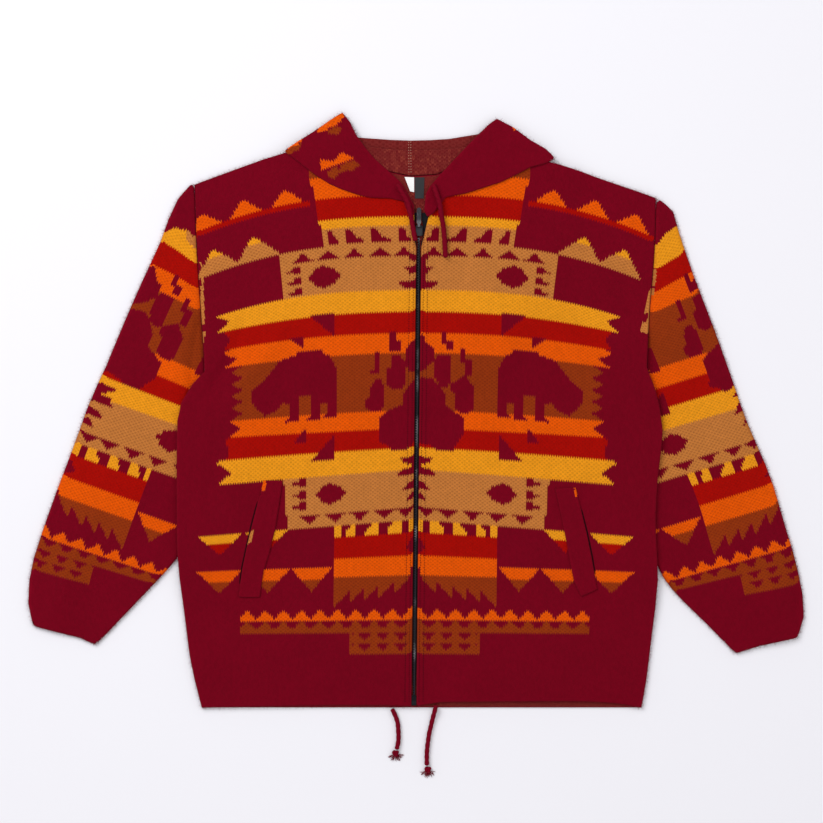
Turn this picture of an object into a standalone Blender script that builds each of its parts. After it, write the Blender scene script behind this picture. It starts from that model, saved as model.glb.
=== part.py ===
"""Hooded zip-front jacket, knitted in wool, laid flat on its back with the front up.

The floor is z = 0 and the collar end points to +Y. Lengths below are in millimetres.
Left is the -X side. A table row gives a height up from the hem line and an x."""

import math

import bmesh
import bpy
from mathutils import Matrix, Vector
from mathutils.geometry import delaunay_2d_cdt

MM = 0.001
CLOTH = 2.6  # wall of the double knit
SEAM = 0.3  # clearance at a seam, and between layers that lie on each other
HEM_Y = -374.0  # y of the hem line, which centres the garment on the origin
SLEEVE_DEPTH = 5.6  # two walls and the little air between them
HOOD_DEPTH = 5.5  # the folded hidden layers of the hood
FLOOR_GRID = 62.0  # point spacing where the cloth lies flat
BEND_GRID = 24.0  # point spacing where it bends
EDGE_STEP = 26.0  # point spacing along an outline
HEM_STEP = 92.0  # point spacing along the back's straight hem
EDGE_CLEAR = 0.36  # a grid point stays this share of its spacing away from every outline

# Side of the body, from the hem up to the underarm.
SIDE_LEFT = (  # up, x
    (0, -270), (35, -279), (64, -285), (136, -294), (192, -300),
    (290, -301), (362, -300), (384, -295), (407, -281), (423, -266),
)
SIDE_RIGHT = (  # up, x
    (0, 283), (34, 289), (84, 295), (126, 300), (161, 303),
    (236, 300), (292, 303), (349, 309), (399, 300), (428, 289),
)
# Armhole, from the underarm up to the shoulder tip.
ARMHOLE_LEFT = ((423, -266), (462, -268), (525, -273), (595, -277), (658, -279))  # up, x
ARMHOLE_RIGHT = ((428, 289), (470, 291), (513, 294), (572, 299), (641, 301))  # up, x
# Shoulder, from its tip to the neck point.
SHOULDER_LEFT = ((658, -279), (679, -222), (697, -166), (702, -120), (703, -90))  # up, x
SHOULDER_RIGHT = ((641, 301), (648, 282), (666, 229), (684, 175), (699, 90))  # up, x
NECK_BACK = ((699, 90), (682, 60), (670, 25), (668, -8), (676, -45), (703, -90))  # up, x
NECK_FRONT_LEFT = ((703, -90), (683, -81), (658, -59), (646, -33), (637, -16), (626, -3))  # up, x
NECK_FRONT_RIGHT = ((699, 90), (683, 80), (659, 59), (648, 36), (638, 20), (626, 9))  # up, x
# Front hems: the right one rides up and shows the inside of the back.
HEM_LEFT = ((0, -270), (2, -180), (3, -90), (3, -40), (2, -7))  # up, x
HEM_RIGHT = ((2, 0), (4, 12), (7, 30), (8, 120), (8, 210), (5, 255), (0, 283))  # up, x

# Sleeve edges, from the body to the cuff. The inner edge starts hidden under the body.
SLEEVE_OUTER_LEFT = (  # up, x
    (658, -279), (650, -293), (633, -304), (611, -313), (582, -323), (551, -338),
    (513, -355), (469, -374), (425, -392), (387, -410), (339, -427), (273, -452),
    (228, -468), (178, -484), (151, -488), (130, -488), (103, -482),
)
SLEEVE_INNER_LEFT = (  # up, x
    (423, -266), (387, -264), (349, -258), (286, -267), (223, -285),
    (189, -300), (170, -316), (79, -403),
)
CUFF_LEFT = ((79, -403), (88, -423), (96, -455), (103, -482))  # up, x
SLEEVE_OUTER_RIGHT = (  # up, x
    (641, 301), (636, 310), (629, 321), (606, 327), (576, 337), (544, 348),
    (510, 361), (471, 376), (406, 399), (362, 414), (310, 437),
    (278, 449), (232, 462), (194, 474), (161, 482), (127, 488), (105, 486), (88, 479),
)
SLEEVE_INNER_RIGHT = (  # up, x
    (428, 289), (387, 284), (349, 282), (286, 285), (223, 294),
    (174, 303), (146, 323), (105, 365), (68, 401),
)
CUFF_RIGHT = ((68, 401), (76, 425), (82, 450), (88, 479))  # up, x

# Hood. The flap's fold is its outer edge, from the peak down to the shoulder.
FOLD_LEFT = ((748, -93), (738, -109), (723, -130), (711, -149), (699, -166))  # up, x
DROOP_LEFT = (  # up, x
    (699, -166), (685, -147), (670, -128), (658, -109), (648, -84), (641, -59), (640, -33), (636, -16),
)
TIP_LEFT = ((636, -16), (619, -10), (617, -4), (630, -3), (646, -11))  # up, x
OPENING_LEFT = (  # up, x
    (646, -11), (659, -19), (675, -36), (689, -52), (703, -64), (718, -75), (736, -84), (748, -93),
)
FOLD_RIGHT = ((740, 101), (730, 120), (713, 143), (702, 162), (690, 174))  # up, x
DROOP_RIGHT = (  # up, x
    (690, 174), (684, 162), (679, 143), (669, 124), (660, 105), (654, 86), (646, 61), (641, 36), (632, 30),
)
TIP_RIGHT = ((632, 30), (622, 22), (616, 14), (624, 9.6), (646, 12))  # up, x
OPENING_RIGHT = (  # up, x
    (646, 12), (656, 18), (670, 30), (689, 48), (707, 65), (722, 80), (733, 91), (740, 101),
)
# Hidden layers: their upper edge is the rim that shows between the two flaps.
RIM = ((736, 97), (722, 77), (716, 40), (714, -8), (716, -49), (718, -75), (740, -92))  # up, x
HOOD_SIDE_LEFT = ((740, -92), (722, -122), (702, -150), (678, -160), (610, -150), (520, -124))  # up, x
HOOD_FOOT = ((520, -124), (450, -80), (414, 0), (450, 84), (520, 128))  # up, x
HOOD_SIDE_RIGHT = (  # up, x
    (520, 128), (610, 156), (668, 168), (688, 165), (706, 144), (722, 122), (736, 97),
)
HOOD_EDGE = {"depth": 1.0, "round": 6.0, "insets": (2.0, 6.0)}  # how its upper side rounds off
# A flap comes down from the body on to the folded layers, and at its fold on to their edge.
FLAP_DROP = {"body_from": 2.0, "body_ramp": 24.0, "fold_from": 5.0, "fold_ramp": 16.0}
FLAP_STEP = 15.0  # point spacing along a flap's outline
# The hood's inner side: its fold, above the back neckline.
INSIDE_FOLD = ((711, -86), (704, -50), (701, -8), (703, 45), (708, 86))  # up, x

# Zip. Its centre line leans a little.
ZIP_FOOT_X = -3.3
ZIP_LEAN = 6.1 / 582.0
ZIP_HALF = 2.6  # half the width of the closed teeth
ZIP_SLIT = 3.1  # half the slit between the two fronts
ZIP_FOOT_UP = 2.0
SLIT_TOP_UP = 578.0  # above it the slit opens for the slider
SLIDER_GAP = ((588, 5.2), (626, 6.2))  # up, half width of that opening
CHAIN_UP = (16.0, 592.0)
TAPE_UP = (4.0, 622.0)
TAPE_STEP = (  # up, inner edge from the centre line
    (586, 2.9), (590, 5.0), (608, 5.0), (613, 3.6), (622, 3.2),
)
BOX_UP = (3.0, 15.6)
TAPE_WIDTH = 11.0
TAPE_DEPTH = 0.8
BOX_HALF = 2.9
ZIP_STRIPS = (  # node, depth, colour, metallic
    ("zip_chain", 2.4, "charcoal", 0.6), ("zip_box", 3.0, "gunmetal", 0.9),
    ("zip_tape_left", TAPE_DEPTH, "charcoal", 0.0), ("zip_tape_right", TAPE_DEPTH, "charcoal", 0.0),
)
SLIDER = {"half": 4.6, "foot": 592.6, "top": 606.0, "depth": 4.6, "corner": 1.8, "edge": 0.7}
CHEEK = {"inner": 1.8, "outer": 2.8, "radius": 1.5}  # the two ears that hold the pull tab
HINGE_UP, HINGE_RISE = 604.6, 1.3  # the hinge: up the zip, and above the slider's top
PULL = {  # the neck widens to the plate between neck_end and plate_start
    "barrel": 1.0, "neck": 1.4, "neck_end": 2.4, "plate_start": 4.4, "half": 2.7, "length": 24.0,
    "depth": 1.1, "droop": 9.0,
}

# Pocket welts: the slit edge, then the sewn edge.
WELT_DEPTH = 2.0
WELT_SLIT_LEFT = ((286, -192), (229, -207), (175, -219), (139, -224))  # up, x
WELT_SEWN_LEFT = ((139, -197), (173, -192), (195, -185), (223, -178), (286, -168))  # up, x
WELT_SLIT_RIGHT = ((149, 227), (190, 220), (219, 214), (277, 200))  # up, x
WELT_SEWN_RIGHT = ((276, 174), (246, 181), (200, 190), (159, 198), (140, 207))  # up, x

LABEL_DEPTH = 0.5
NECK_LABEL = ((640, -2), (640, 9), (666.5, 10), (666.5, -2))  # up, x
SIZE_TAG = ((649, -8), (648, -3), (666.5, -3), (667, -15))  # up, x

# Drawcords: up, x, and the height of the cord's middle above what it lies on.
HOOD_CORD, HEM_CORD = 5.6, 5.2
HOOD_CORD_LEFT = (
    (657, -24, 3.2), (648, -19, 3.3), (634, -11, 3.4), (619, -7.5, 3.8), (603, -4.6, 3.5), (586, -1.6, 3.2),
)
HOOD_CORD_RIGHT = (
    (657, 21, 3.2), (645, 25, 3.3), (632, 29, 3.4), (618, 31, 3.8), (600, 34, 3.4), (565, 36.5, 3.2),
)
HEM_CORD_LEFT = (
    (-1.4, -30.8, 0.7), (-9, -27.2, 0.3), (-19, -23.8, 0), (-31, -22.8, 0), (-42, -22.8, 0), (-53, -25, 0),
)
HEM_CORD_RIGHT = (
    (3.6, 24.6, 3.1), (-3, 23.2, 2.9), (-12, 20.8, 0.6), (-23, 18.2, 0), (-35, 15.6, 0), (-55, 13.2, 0),
    (-73, 13, 0),
)
CORD_STEP = 1.6  # point spacing along a cord, in diameters
FLAP_TIP = {"up": 608.0, "ramp": 16.0}  # where a hood drawcord comes down from the flap's tip
KNOTS = {  # up, x, half length, half width, half height
    "hem_knot_left": (-57.3, -26.4, 4.4, 4.6, 3.4),
    "hem_knot_right": (-77.8, 14.4, 4.6, 4.4, 3.5),
}

# Soft folds of the fronts: middle up and x, half length and half width, lean in degrees, height.
FRONT_FOLDS = (
    (30, 150, 120, 34, 0, 2.2), (70, -150, 110, 40, 6, 1.6), (150, -120, 90, 30, 62, 1.5),
    (210, 130, 120, 34, -66, 1.7), (330, -190, 120, 32, 78, 1.8), (350, 215, 130, 34, -78, 1.8),
    (430, -120, 100, 40, 20, 1.4), (455, 110, 100, 40, -20, 1.4), (590, -205, 70, 30, 40, 1.8),
    (580, 215, 70, 30, -40, 1.8),
)
FOLDS_FADE = {"side": 60.0, "zip_from": 16.0, "zip_ramp": 30.0}

# How far the body's cloth rides up beside what it lies on, and over what width it comes down again.
OVER_SLEEVE = {"reach": 80.0, "ramp": 48.0, "top_up": 510.0, "top_ramp": 70.0}
OVER_HOOD = {"reach": 60.0, "ramp": 50.0}
OVER_TAPE = {"reach": 6.0, "ramp": 20.0}

# Air that a sleeve holds between its two layers, as shares of its width and length.
SLEEVE_AIR = {"rise": 2.6, "from": 0.34, "ramp": 0.3, "along": 0.12}
SLEEVE_RINGS, SLEEVE_FLATS, SLEEVE_BULGE = 22, 8, 3  # rings, then points on each flat side and round end

COLOURS = {
    "burgundy": (0.168, 0.004, 0.012), "reverse": (0.155, 0.028, 0.018), "charcoal": (0.028, 0.028, 0.032),
    "label": (0.022, 0.026, 0.028), "tag": (0.82, 0.82, 0.80), "gunmetal": (0.10, 0.10, 0.105),
    "cord": (0.16, 0.005, 0.014),
}


def smoothstep(value):
    value = min(1.0, max(0.0, value))
    return value * value * (3 - 2 * value)


def plan(up, x):
    """Where a table's point lies in plan."""
    return Vector((x, HEM_Y + up))


def smooth_curve(knots, step):
    """Points about a step apart on a smooth curve through the knots."""
    knots = [2 * knots[0] - knots[1]] + knots + [2 * knots[-1] - knots[-2]]
    curve = []
    for before, start, end, after in zip(knots, knots[1:], knots[2:], knots[3:]):
        parts = max(1, round((end - start).length / step))
        for part in range(parts):
            t = part / parts
            pull = (end - before) * t + (2 * before - 5 * start + 4 * end - after) * t * t
            pull += (3 * start - before - 3 * end + after) * t ** 3
            curve.append(start + pull / 2)
    return curve + [knots[-2]]


def through(rows, step=EDGE_STEP):
    """The smooth plan curve through a table's rows."""
    return smooth_curve([plan(*row) for row in rows], step)


def ring_of(*edges):
    """One closed outline from edges that follow each other and share their end points."""
    outline = []
    for edge in edges:
        outline += edge[:-1]
    return outline


def to_edge(point, outline):
    """Distance from a plan point to a closed outline, positive outside it."""
    nearest, inside = math.inf, False
    for a, b in zip(outline, outline[1:] + outline[:1]):
        along = b - a
        share = min(1.0, max(0.0, (point - a).dot(along) / along.length_squared))
        nearest = min(nearest, (point - a - along * share).length)
        if (a.y > point.y) != (b.y > point.y):
            if point.x < a.x + (point.y - a.y) / (b.y - a.y) * (b.x - a.x):
                inside = not inside
    return -nearest if inside else nearest


def x_at(rows, up):
    """x of a table's edge at one height above the hem."""
    ordered = sorted(rows)
    for (low, low_x), (high, high_x) in zip(ordered, ordered[1:]):
        if up <= high:
            share = max(0.0, (up - low) / (high - low))
            return low_x + (high_x - low_x) * share
    return ordered[-1][1]


def zip_x(up):
    return ZIP_FOOT_X + ZIP_LEAN * up


HOOD_OUTLINE = ring_of(
    through(RIM), through(HOOD_SIDE_LEFT), through(HOOD_FOOT), through(HOOD_SIDE_RIGHT),
)


def sleeve_lift(point):
    """How high the body's sides ride over the hidden inner corner of each sleeve."""
    up = point.y - HEM_Y
    inner, side = (SLEEVE_INNER_LEFT, 1) if point.x < 0 else (SLEEVE_INNER_RIGHT, -1)
    past = side * (point.x - x_at(inner, min(up, inner[0][0])))
    below_shoulder = smoothstep((OVER_SLEEVE["top_up"] - up) / OVER_SLEEVE["top_ramp"])
    over_corner = smoothstep((OVER_SLEEVE["reach"] - past) / OVER_SLEEVE["ramp"])
    return (SLEEVE_DEPTH + SEAM) * below_shoulder * over_corner


def hood_lift(point):
    """How high the body rides over the folded hood."""
    past = to_edge(point, HOOD_OUTLINE)
    return (HOOD_DEPTH + SEAM) * smoothstep((OVER_HOOD["reach"] - past) / OVER_HOOD["ramp"])


def back_under(point):
    return max(sleeve_lift(point), hood_lift(point))


def back_over(point):
    return back_under(point) + CLOTH


def front_folds(point):
    """Soft ridges of the fronts, gone at the zip, the shoulders and the side seams."""
    height = 0.0
    for up, x, half_length, half_width, lean, rise in FRONT_FOLDS:
        local = Matrix.Rotation(math.radians(-lean), 2) @ (point - plan(up, x))
        height += rise * math.exp(-((local.x / half_length) ** 2) - (local.y / half_width) ** 2)
    up = point.y - HEM_Y
    side = min(abs(point.x - x_at(SIDE_LEFT, up)), abs(point.x - x_at(SIDE_RIGHT, up)))
    beside_zip = abs(point.x - zip_x(up)) - FOLDS_FADE["zip_from"]
    return height * smoothstep(side / FOLDS_FADE["side"]) * smoothstep(beside_zip / FOLDS_FADE["zip_ramp"])


def front_under(point):
    up = point.y - HEM_Y
    past = abs(point.x - zip_x(up)) - TAPE_WIDTH - OVER_TAPE["reach"]
    on_tape = 1 - smoothstep(past / OVER_TAPE["ramp"])
    return back_over(point) + SEAM + (TAPE_DEPTH + SEAM) * on_tape + front_folds(point)


def front_over(point):
    return front_under(point) + CLOTH


def material_of(name, colour, roughness=0.9, metallic=0.0):
    material = bpy.data.materials.new(name)
    material.use_nodes = True
    shader = material.node_tree.nodes["Principled BSDF"]
    shader.inputs["Base Color"].default_value = (*COLOURS[colour], 1)
    shader.inputs["Roughness"].default_value = roughness
    shader.inputs["Metallic"].default_value = metallic
    return material


def add_object(name, mesh, colour, roughness=0.9, metallic=0.0):
    mesh.materials.append(material_of(name, colour, roughness, metallic))
    obj = bpy.data.objects.new(name, mesh)
    bpy.context.scene.collection.objects.link(obj)
    return obj


def finish_mesh(bm, name):
    bmesh.ops.recalc_face_normals(bm, faces=bm.faces)
    bmesh.ops.scale(bm, vec=(MM, MM, MM), verts=bm.verts)
    mesh = bpy.data.meshes.new(name)
    bm.to_mesh(mesh)
    bm.free()
    return mesh


def bends(point):
    """Whether the body's cloth bends at a plan point, so that it needs closer points."""
    level, least_fold = 0.02, 0.4
    return level < back_under(point) < SLEEVE_DEPTH + SEAM - level or front_folds(point) > least_fold


def closed_body(bm, low, high, triangles):
    """Two equal surfaces, one above the other, joined by walls along their free edges."""
    used = {}
    for corners in triangles:
        bm.faces.new([high[i] for i in corners])
        bm.faces.new([low[i] for i in reversed(corners)])
        for a, b in zip(corners, corners[1:] + corners[:1]):
            used.setdefault(frozenset((a, b)), []).append((a, b))
    for sides in used.values():
        if len(sides) == 1:
            a, b = sides[0]
            bm.faces.new((high[b], high[a], low[a], low[b]))


def plan_net(outlines):
    """One net of triangles in plan, shared by all layers, with every piece's outline among its edges.

    Layers made from the same points can't cut into each other."""
    spots, edges = [], []
    for outline in outlines:
        first = len(spots)
        spots += outline
        edges += [(first + i, first + (i + 1) % len(outline)) for i in range(len(outline))]
    low = Vector((min(spot.x for spot in spots), min(spot.y for spot in spots)))
    high = Vector((max(spot.x for spot in spots), max(spot.y for spot in spots)))
    for size, wanted in ((BEND_GRID, True), (FLOOR_GRID, False)):
        for row in range(int((high.y - low.y) / size)):
            for column in range(int((high.x - low.x) / size)):
                spot = low + Vector((column + 0.5 * (row % 2), row + 0.3)) * size
                if bends(spot) != wanted:
                    continue
                if min(abs(to_edge(spot, outline)) for outline in outlines) > EDGE_CLEAR * size:
                    spots.append(spot)
    points, _, triangles, *_ = delaunay_2d_cdt(spots, edges, [], 0, 1e-3)
    return points, [tuple(corners) for corners in triangles]


def sheet(name, net, outline, under, over, colour, roughness=0.9, metallic=0.0):
    """A wall of cloth: the net's triangles inside an outline, between two heights."""
    points, triangles = net
    inner = []
    for corners in triangles:
        middle = (points[corners[0]] + points[corners[1]] + points[corners[2]]) / 3
        if to_edge(middle, outline) < 0:
            inner.append(corners)
    taken = sorted({i for corners in inner for i in corners})
    bm = bmesh.new()
    low = {i: bm.verts.new((*points[i], under(points[i]))) for i in taken}
    high = {i: bm.verts.new((*points[i], over(points[i]))) for i in taken}
    closed_body(bm, low, high, inner)
    return add_object(name, finish_mesh(bm, name), colour, roughness, metallic)


def rounded_pad(name, outline, over, colour, insets):
    """A solid on the floor whose height falls off towards its outline."""
    spots = list(outline)
    middle = sum(outline, Vector((0, 0))) / len(outline)
    for inset in insets:
        for before, here, after in zip(outline[-1:] + outline[:-1], outline, outline[1:] + outline[:1]):
            along = (after - before).normalized()
            square = Vector((-along.y, along.x))
            inner = here + square * inset * (1 if square.dot(middle - here) > 0 else -1)
            if to_edge(inner, outline) < -0.7 * inset:
                spots.append(inner)
    edges = [(i, (i + 1) % len(outline)) for i in range(len(outline))]
    points, _, triangles, *_ = delaunay_2d_cdt(spots, edges, [], 1, 1e-3)
    bm = bmesh.new()
    low = [bm.verts.new((*p, 0.0)) for p in points]
    high = [bm.verts.new((*p, over(p))) for p in points]
    closed_body(bm, low, high, [tuple(corners) for corners in triangles])
    return add_object(name, finish_mesh(bm, name), colour)


def zip_edge(offset, low, high, step=38.0):
    """Plan points along the zip, at an offset from its centre line."""
    parts = max(1, round((high - low) / step))
    ups = [low + (high - low) * i / parts for i in range(parts + 1)]
    return [plan(up, zip_x(up) + offset) for up in ups]


def front_zip_edge(side):
    """The front's edge along the zip: a slit, then the opening that the slider fills."""
    opening = [plan(up, zip_x(up) + side * half) for up, half in SLIDER_GAP]
    return zip_edge(side * ZIP_SLIT, ZIP_FOOT_UP, SLIT_TOP_UP) + opening


def strip_outline(inner, outer, low, high):
    return zip_edge(inner, low, high) + zip_edge(outer, low, high)[::-1]


def tape_outline(side):
    """A zip tape: its inner edge runs along the teeth, and steps round the slider at the top."""
    inner = ZIP_HALF + SEAM
    low, high = TAPE_UP
    step = [plan(up, zip_x(up) + side * offset) for up, offset in TAPE_STEP]
    beside_teeth = zip_edge(side * inner, low, SLIT_TOP_UP) + step
    return zip_edge(side * (inner + TAPE_WIDTH), low, high) + beside_teeth[::-1]


def outlines_of_body():
    side_left, side_right = through(SIDE_LEFT[::-1]), through(SIDE_RIGHT)
    armhole_left, armhole_right = through(ARMHOLE_LEFT[::-1]), through(ARMHOLE_RIGHT)
    shoulder_left, shoulder_right = through(SHOULDER_LEFT[::-1]), through(SHOULDER_RIGHT)
    slit_left, slit_right = front_zip_edge(-1), front_zip_edge(1)
    hem_left, hem_right = through(HEM_LEFT), through(HEM_RIGHT)
    neck_left, neck_right = through(NECK_FRONT_LEFT[::-1]), through(NECK_FRONT_RIGHT)
    inside_low = [point + Vector((0, 2 * SEAM)) for point in through(NECK_BACK)]
    return {
        "back": ring_of(
            through((SIDE_LEFT[0], SIDE_RIGHT[0]), HEM_STEP), side_right, armhole_right, shoulder_right,
            through(NECK_BACK), shoulder_left, armhole_left, side_left,
        ),
        "front_left": ring_of(
            hem_left[:-1] + slit_left[:1], slit_left[:-1] + neck_left[:1], neck_left, shoulder_left,
            armhole_left, side_left,
        ),
        "front_right": ring_of(
            slit_right[:1] + hem_right[1:], side_right, armhole_right, shoulder_right,
            neck_right[:-1] + slit_right[-2:-1], slit_right[-2::-1],
        ),
        "zip_chain": strip_outline(-ZIP_HALF, ZIP_HALF, *CHAIN_UP),
        "zip_box": strip_outline(-BOX_HALF, BOX_HALF, *BOX_UP),
        "zip_tape_left": tape_outline(-1),
        "zip_tape_right": tape_outline(1),
        "hood_inside": through(INSIDE_FOLD)[:-1] + inside_low,
        "hood_left": flap_outline(FOLD_LEFT, DROOP_LEFT, TIP_LEFT, OPENING_LEFT),
        "hood_right": flap_outline(FOLD_RIGHT, DROOP_RIGHT, TIP_RIGHT, OPENING_RIGHT),
        "pocket_welt_left": welt_outline(WELT_SLIT_LEFT, WELT_SEWN_LEFT),
        "pocket_welt_right": welt_outline(WELT_SLIT_RIGHT, WELT_SEWN_RIGHT),
    }


def flap_outline(*edges):
    return ring_of(*(through(rows, FLAP_STEP) for rows in edges))


def welt_outline(slit, sewn):
    return through(slit) + through(sewn)


def inset_seam(edge, shift):
    """An edge moved sideways, for the clearance at a seam."""
    return [point + Vector(shift) for point in edge]


def at_share(curve, share):
    """The point that lies a share of the way along a polyline."""
    lengths = [(b - a).length for a, b in zip(curve, curve[1:])]
    left = share * sum(lengths)
    for a, b, length in zip(curve, curve[1:], lengths):
        if left <= length:
            return a + (b - a) * (left / length)
        left -= length
    return curve[-1].copy()


def make_sleeve(name, armhole, outer, inner, cuff, clearance):
    """A flattened tube: rings from the armhole to the cuff, each a slot with round ends."""
    armhole = inset_seam(through(armhole), (clearance, 0))
    outer = inset_seam(through(outer), (clearance, 0))
    inner = inset_seam(through(inner), (clearance, 0))
    cuff = inset_seam(through(cuff), (clearance, 0))
    corners = armhole[0], armhole[-1], cuff[0], cuff[-1]

    def spot(across, along):
        """Coons patch: across from the inner to the outer edge, along from the armhole to the cuff."""
        ends = at_share(armhole, across) * (1 - along) + at_share(cuff, across) * along
        sides = at_share(inner, along) * (1 - across) + at_share(outer, along) * across
        start = corners[0] * (1 - across) + corners[1] * across
        end = corners[2] * (1 - across) + corners[3] * across
        return ends + sides - (start * (1 - along) + end * along)

    rings, flats, bulge = SLEEVE_RINGS, SLEEVE_FLATS, SLEEVE_BULGE
    half = SLEEVE_DEPTH / 2

    def loft(across, along):
        """How far air lifts the upper layer, not at all where the body lies on it."""
        inner = smoothstep((across - SLEEVE_AIR["from"]) / SLEEVE_AIR["ramp"])
        outer = smoothstep((1 - across) / SLEEVE_AIR["ramp"])
        return SLEEVE_AIR["rise"] * inner * outer * smoothstep(along / SLEEVE_AIR["along"])

    def slot(along, wall):
        """One ring of points, a wall's thickness inside the cloth's outer face."""
        first, last = spot(0, along), spot(1, along)
        width = (last - first).length
        radius = half - wall
        points = []
        for step in range(flats + 1):
            across = half / width + (1 - 2 * half / width) * step / flats
            points.append((*spot(across, along), half - radius))
        toward = (last - spot(1 - half / width, along)).normalized()
        for step in range(1, bulge + 1):
            angle = -math.pi / 2 + math.pi * step / (bulge + 1)
            centre = spot(1 - half / width, along)
            points.append((*(centre + toward * radius * math.cos(angle)), half + radius * math.sin(angle)))
        for step in range(flats, -1, -1):
            across = half / width + (1 - 2 * half / width) * step / flats
            points.append((*spot(across, along), half + radius + loft(across, along)))
        toward = (first - spot(half / width, along)).normalized()
        for step in range(1, bulge + 1):
            angle = math.pi / 2 + math.pi * step / (bulge + 1)
            centre = spot(half / width, along)
            points.append((*(centre - toward * radius * math.cos(angle)), half + radius * math.sin(angle)))
        return points

    bm = bmesh.new()
    outside = [[bm.verts.new(p) for p in slot(i / (rings - 1), 0)] for i in range(rings)]
    inside = [[bm.verts.new(p) for p in slot(i / (rings - 1), CLOTH)] for i in range(rings)]
    count = len(outside[0])
    for layer in (outside, inside):
        for ring, beyond in zip(layer, layer[1:]):
            for i in range(count):
                bm.faces.new((ring[i], ring[(i + 1) % count], beyond[(i + 1) % count], beyond[i]))
    for end in (0, -1):
        for i in range(count):
            following = (i + 1) % count
            bm.faces.new((outside[end][i], outside[end][following], inside[end][following], inside[end][i]))
    return add_object(name, finish_mesh(bm, name), "burgundy")


def make_hood_back():
    """The hidden folded layers, rounded at the edges."""
    edge = HOOD_EDGE["depth"]

    def over(point):
        share = min(1.0, max(0.0, -to_edge(point, HOOD_OUTLINE) / HOOD_EDGE["round"]))
        return edge + (HOOD_DEPTH - edge) * math.sqrt(1 - (1 - share) ** 2)

    rounded_pad("hood_back", HOOD_OUTLINE, over, "burgundy", HOOD_EDGE["insets"])


def flap_under(point, fold, body):
    """The underside of a hood flap: over the body, then down on to the folded layers at the fold."""
    on_body = front_over(point) + SEAM
    from_fold = min((point - spot).length for spot in fold) - FLAP_DROP["fold_from"]
    beyond = HOOD_DEPTH + SEAM + (CLOTH + SEAM) * smoothstep(from_fold / FLAP_DROP["fold_ramp"])
    off_body = smoothstep((to_edge(point, body) - FLAP_DROP["body_from"]) / FLAP_DROP["body_ramp"])
    return on_body + (min(on_body, beyond) - on_body) * off_body


def make_layers():
    """Every piece that lies in the stack, from the back panel up to the hood's flaps."""
    outlines = outlines_of_body()
    net = plan_net(list(outlines.values()))
    sheet("back", net, outlines["back"], back_under, back_over, "burgundy")
    for name in ("front_left", "front_right"):
        sheet(name, net, outlines[name], front_under, front_over, "burgundy")
    for name, depth, colour, metallic in ZIP_STRIPS:
        sheet(
            name, net, outlines[name], lambda p: back_over(p) + SEAM,
            lambda p, depth=depth: back_over(p) + SEAM + depth, colour, 0.5, metallic,
        )
    low = HOOD_DEPTH + SEAM
    sheet("hood_inside", net, outlines["hood_inside"], lambda p: low, lambda p: low + CLOTH, "reverse")
    left, right = outlines["front_left"], outlines["front_right"]
    for name, rows, body in (("hood_left", FOLD_LEFT, left), ("hood_right", FOLD_RIGHT, right)):
        fold = through(rows, 3)
        sheet(
            name, net, outlines[name], lambda p, f=fold, b=body: flap_under(p, f, b),
            lambda p, f=fold, b=body: flap_under(p, f, b) + CLOTH, "burgundy",
        )
    for name in ("pocket_welt_left", "pocket_welt_right"):
        sheet(
            name, net, outlines[name], lambda p: front_over(p) + SEAM,
            lambda p: front_over(p) + SEAM + WELT_DEPTH, "burgundy",
        )


def slab(bm, low, high):
    """A box between two corners."""
    made = bmesh.ops.create_cube(bm, size=1.0)["verts"]
    middle = (Vector(low) + Vector(high)) / 2
    bmesh.ops.scale(bm, vec=Vector(high) - Vector(low), verts=made)
    bmesh.ops.translate(bm, vec=middle, verts=made)


def disc(bm, radius, low_x, high_x, segments=14):
    """A cylinder on the X axis between two x."""
    turn = Matrix.Translation(((low_x + high_x) / 2, 0, 0)) @ Matrix.Rotation(math.pi / 2, 4, "Y")
    bmesh.ops.create_cone(
        bm, cap_ends=True, segments=segments, radius1=radius, radius2=radius, depth=high_x - low_x,
        matrix=turn,
    )


def union(base, *others):
    for number, other in enumerate(others):
        other.hide_render = True
        other.display_type = "WIRE"
        modifier = base.modifiers.new(f"join {number}", "BOOLEAN")
        modifier.operation = "UNION"
        modifier.object = other


def hinge_point():
    top = back_over(plan(HINGE_UP, zip_x(HINGE_UP))) + SEAM + SLIDER["depth"]
    return Vector((*plan(HINGE_UP, zip_x(HINGE_UP)), top + HINGE_RISE))


def make_slider():
    """The slider's body with two ears on top, which hold the pull tab's barrel between them."""
    hinge = hinge_point()
    top = hinge.z - HINGE_RISE
    bm = bmesh.new()
    slab(
        bm, (hinge.x - SLIDER["half"], HEM_Y + SLIDER["foot"], top - SLIDER["depth"]),
        (hinge.x + SLIDER["half"], HEM_Y + SLIDER["top"], top),
    )
    upright = [e for e in bm.edges if abs(e.verts[0].co.z - e.verts[1].co.z) > 1]
    bmesh.ops.bevel(bm, geom=upright, offset=SLIDER["corner"], segments=3, profile=0.5, affect="EDGES")
    bm.normal_update()
    upper = [e for e in bm.edges if all(v.co.z > top - 0.1 for v in e.verts)]
    bmesh.ops.bevel(bm, geom=upper, offset=SLIDER["edge"], segments=2, profile=0.5, affect="EDGES")
    body = add_object("zip_slider", finish_mesh(bm, "zip_slider"), "gunmetal", 0.38, 0.9)
    ears = []
    for side in (-1, 1):
        bm = bmesh.new()
        low, high = sorted((side * CHEEK["inner"], side * CHEEK["outer"]))
        disc(bm, CHEEK["radius"], low, high)
        bmesh.ops.translate(bm, vec=hinge, verts=bm.verts)
        name = f"ear_{'left' if side < 0 else 'right'}"
        ears.append(add_object(name, finish_mesh(bm, name), "gunmetal", 0.38, 0.9))
    union(body, *ears)


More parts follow.
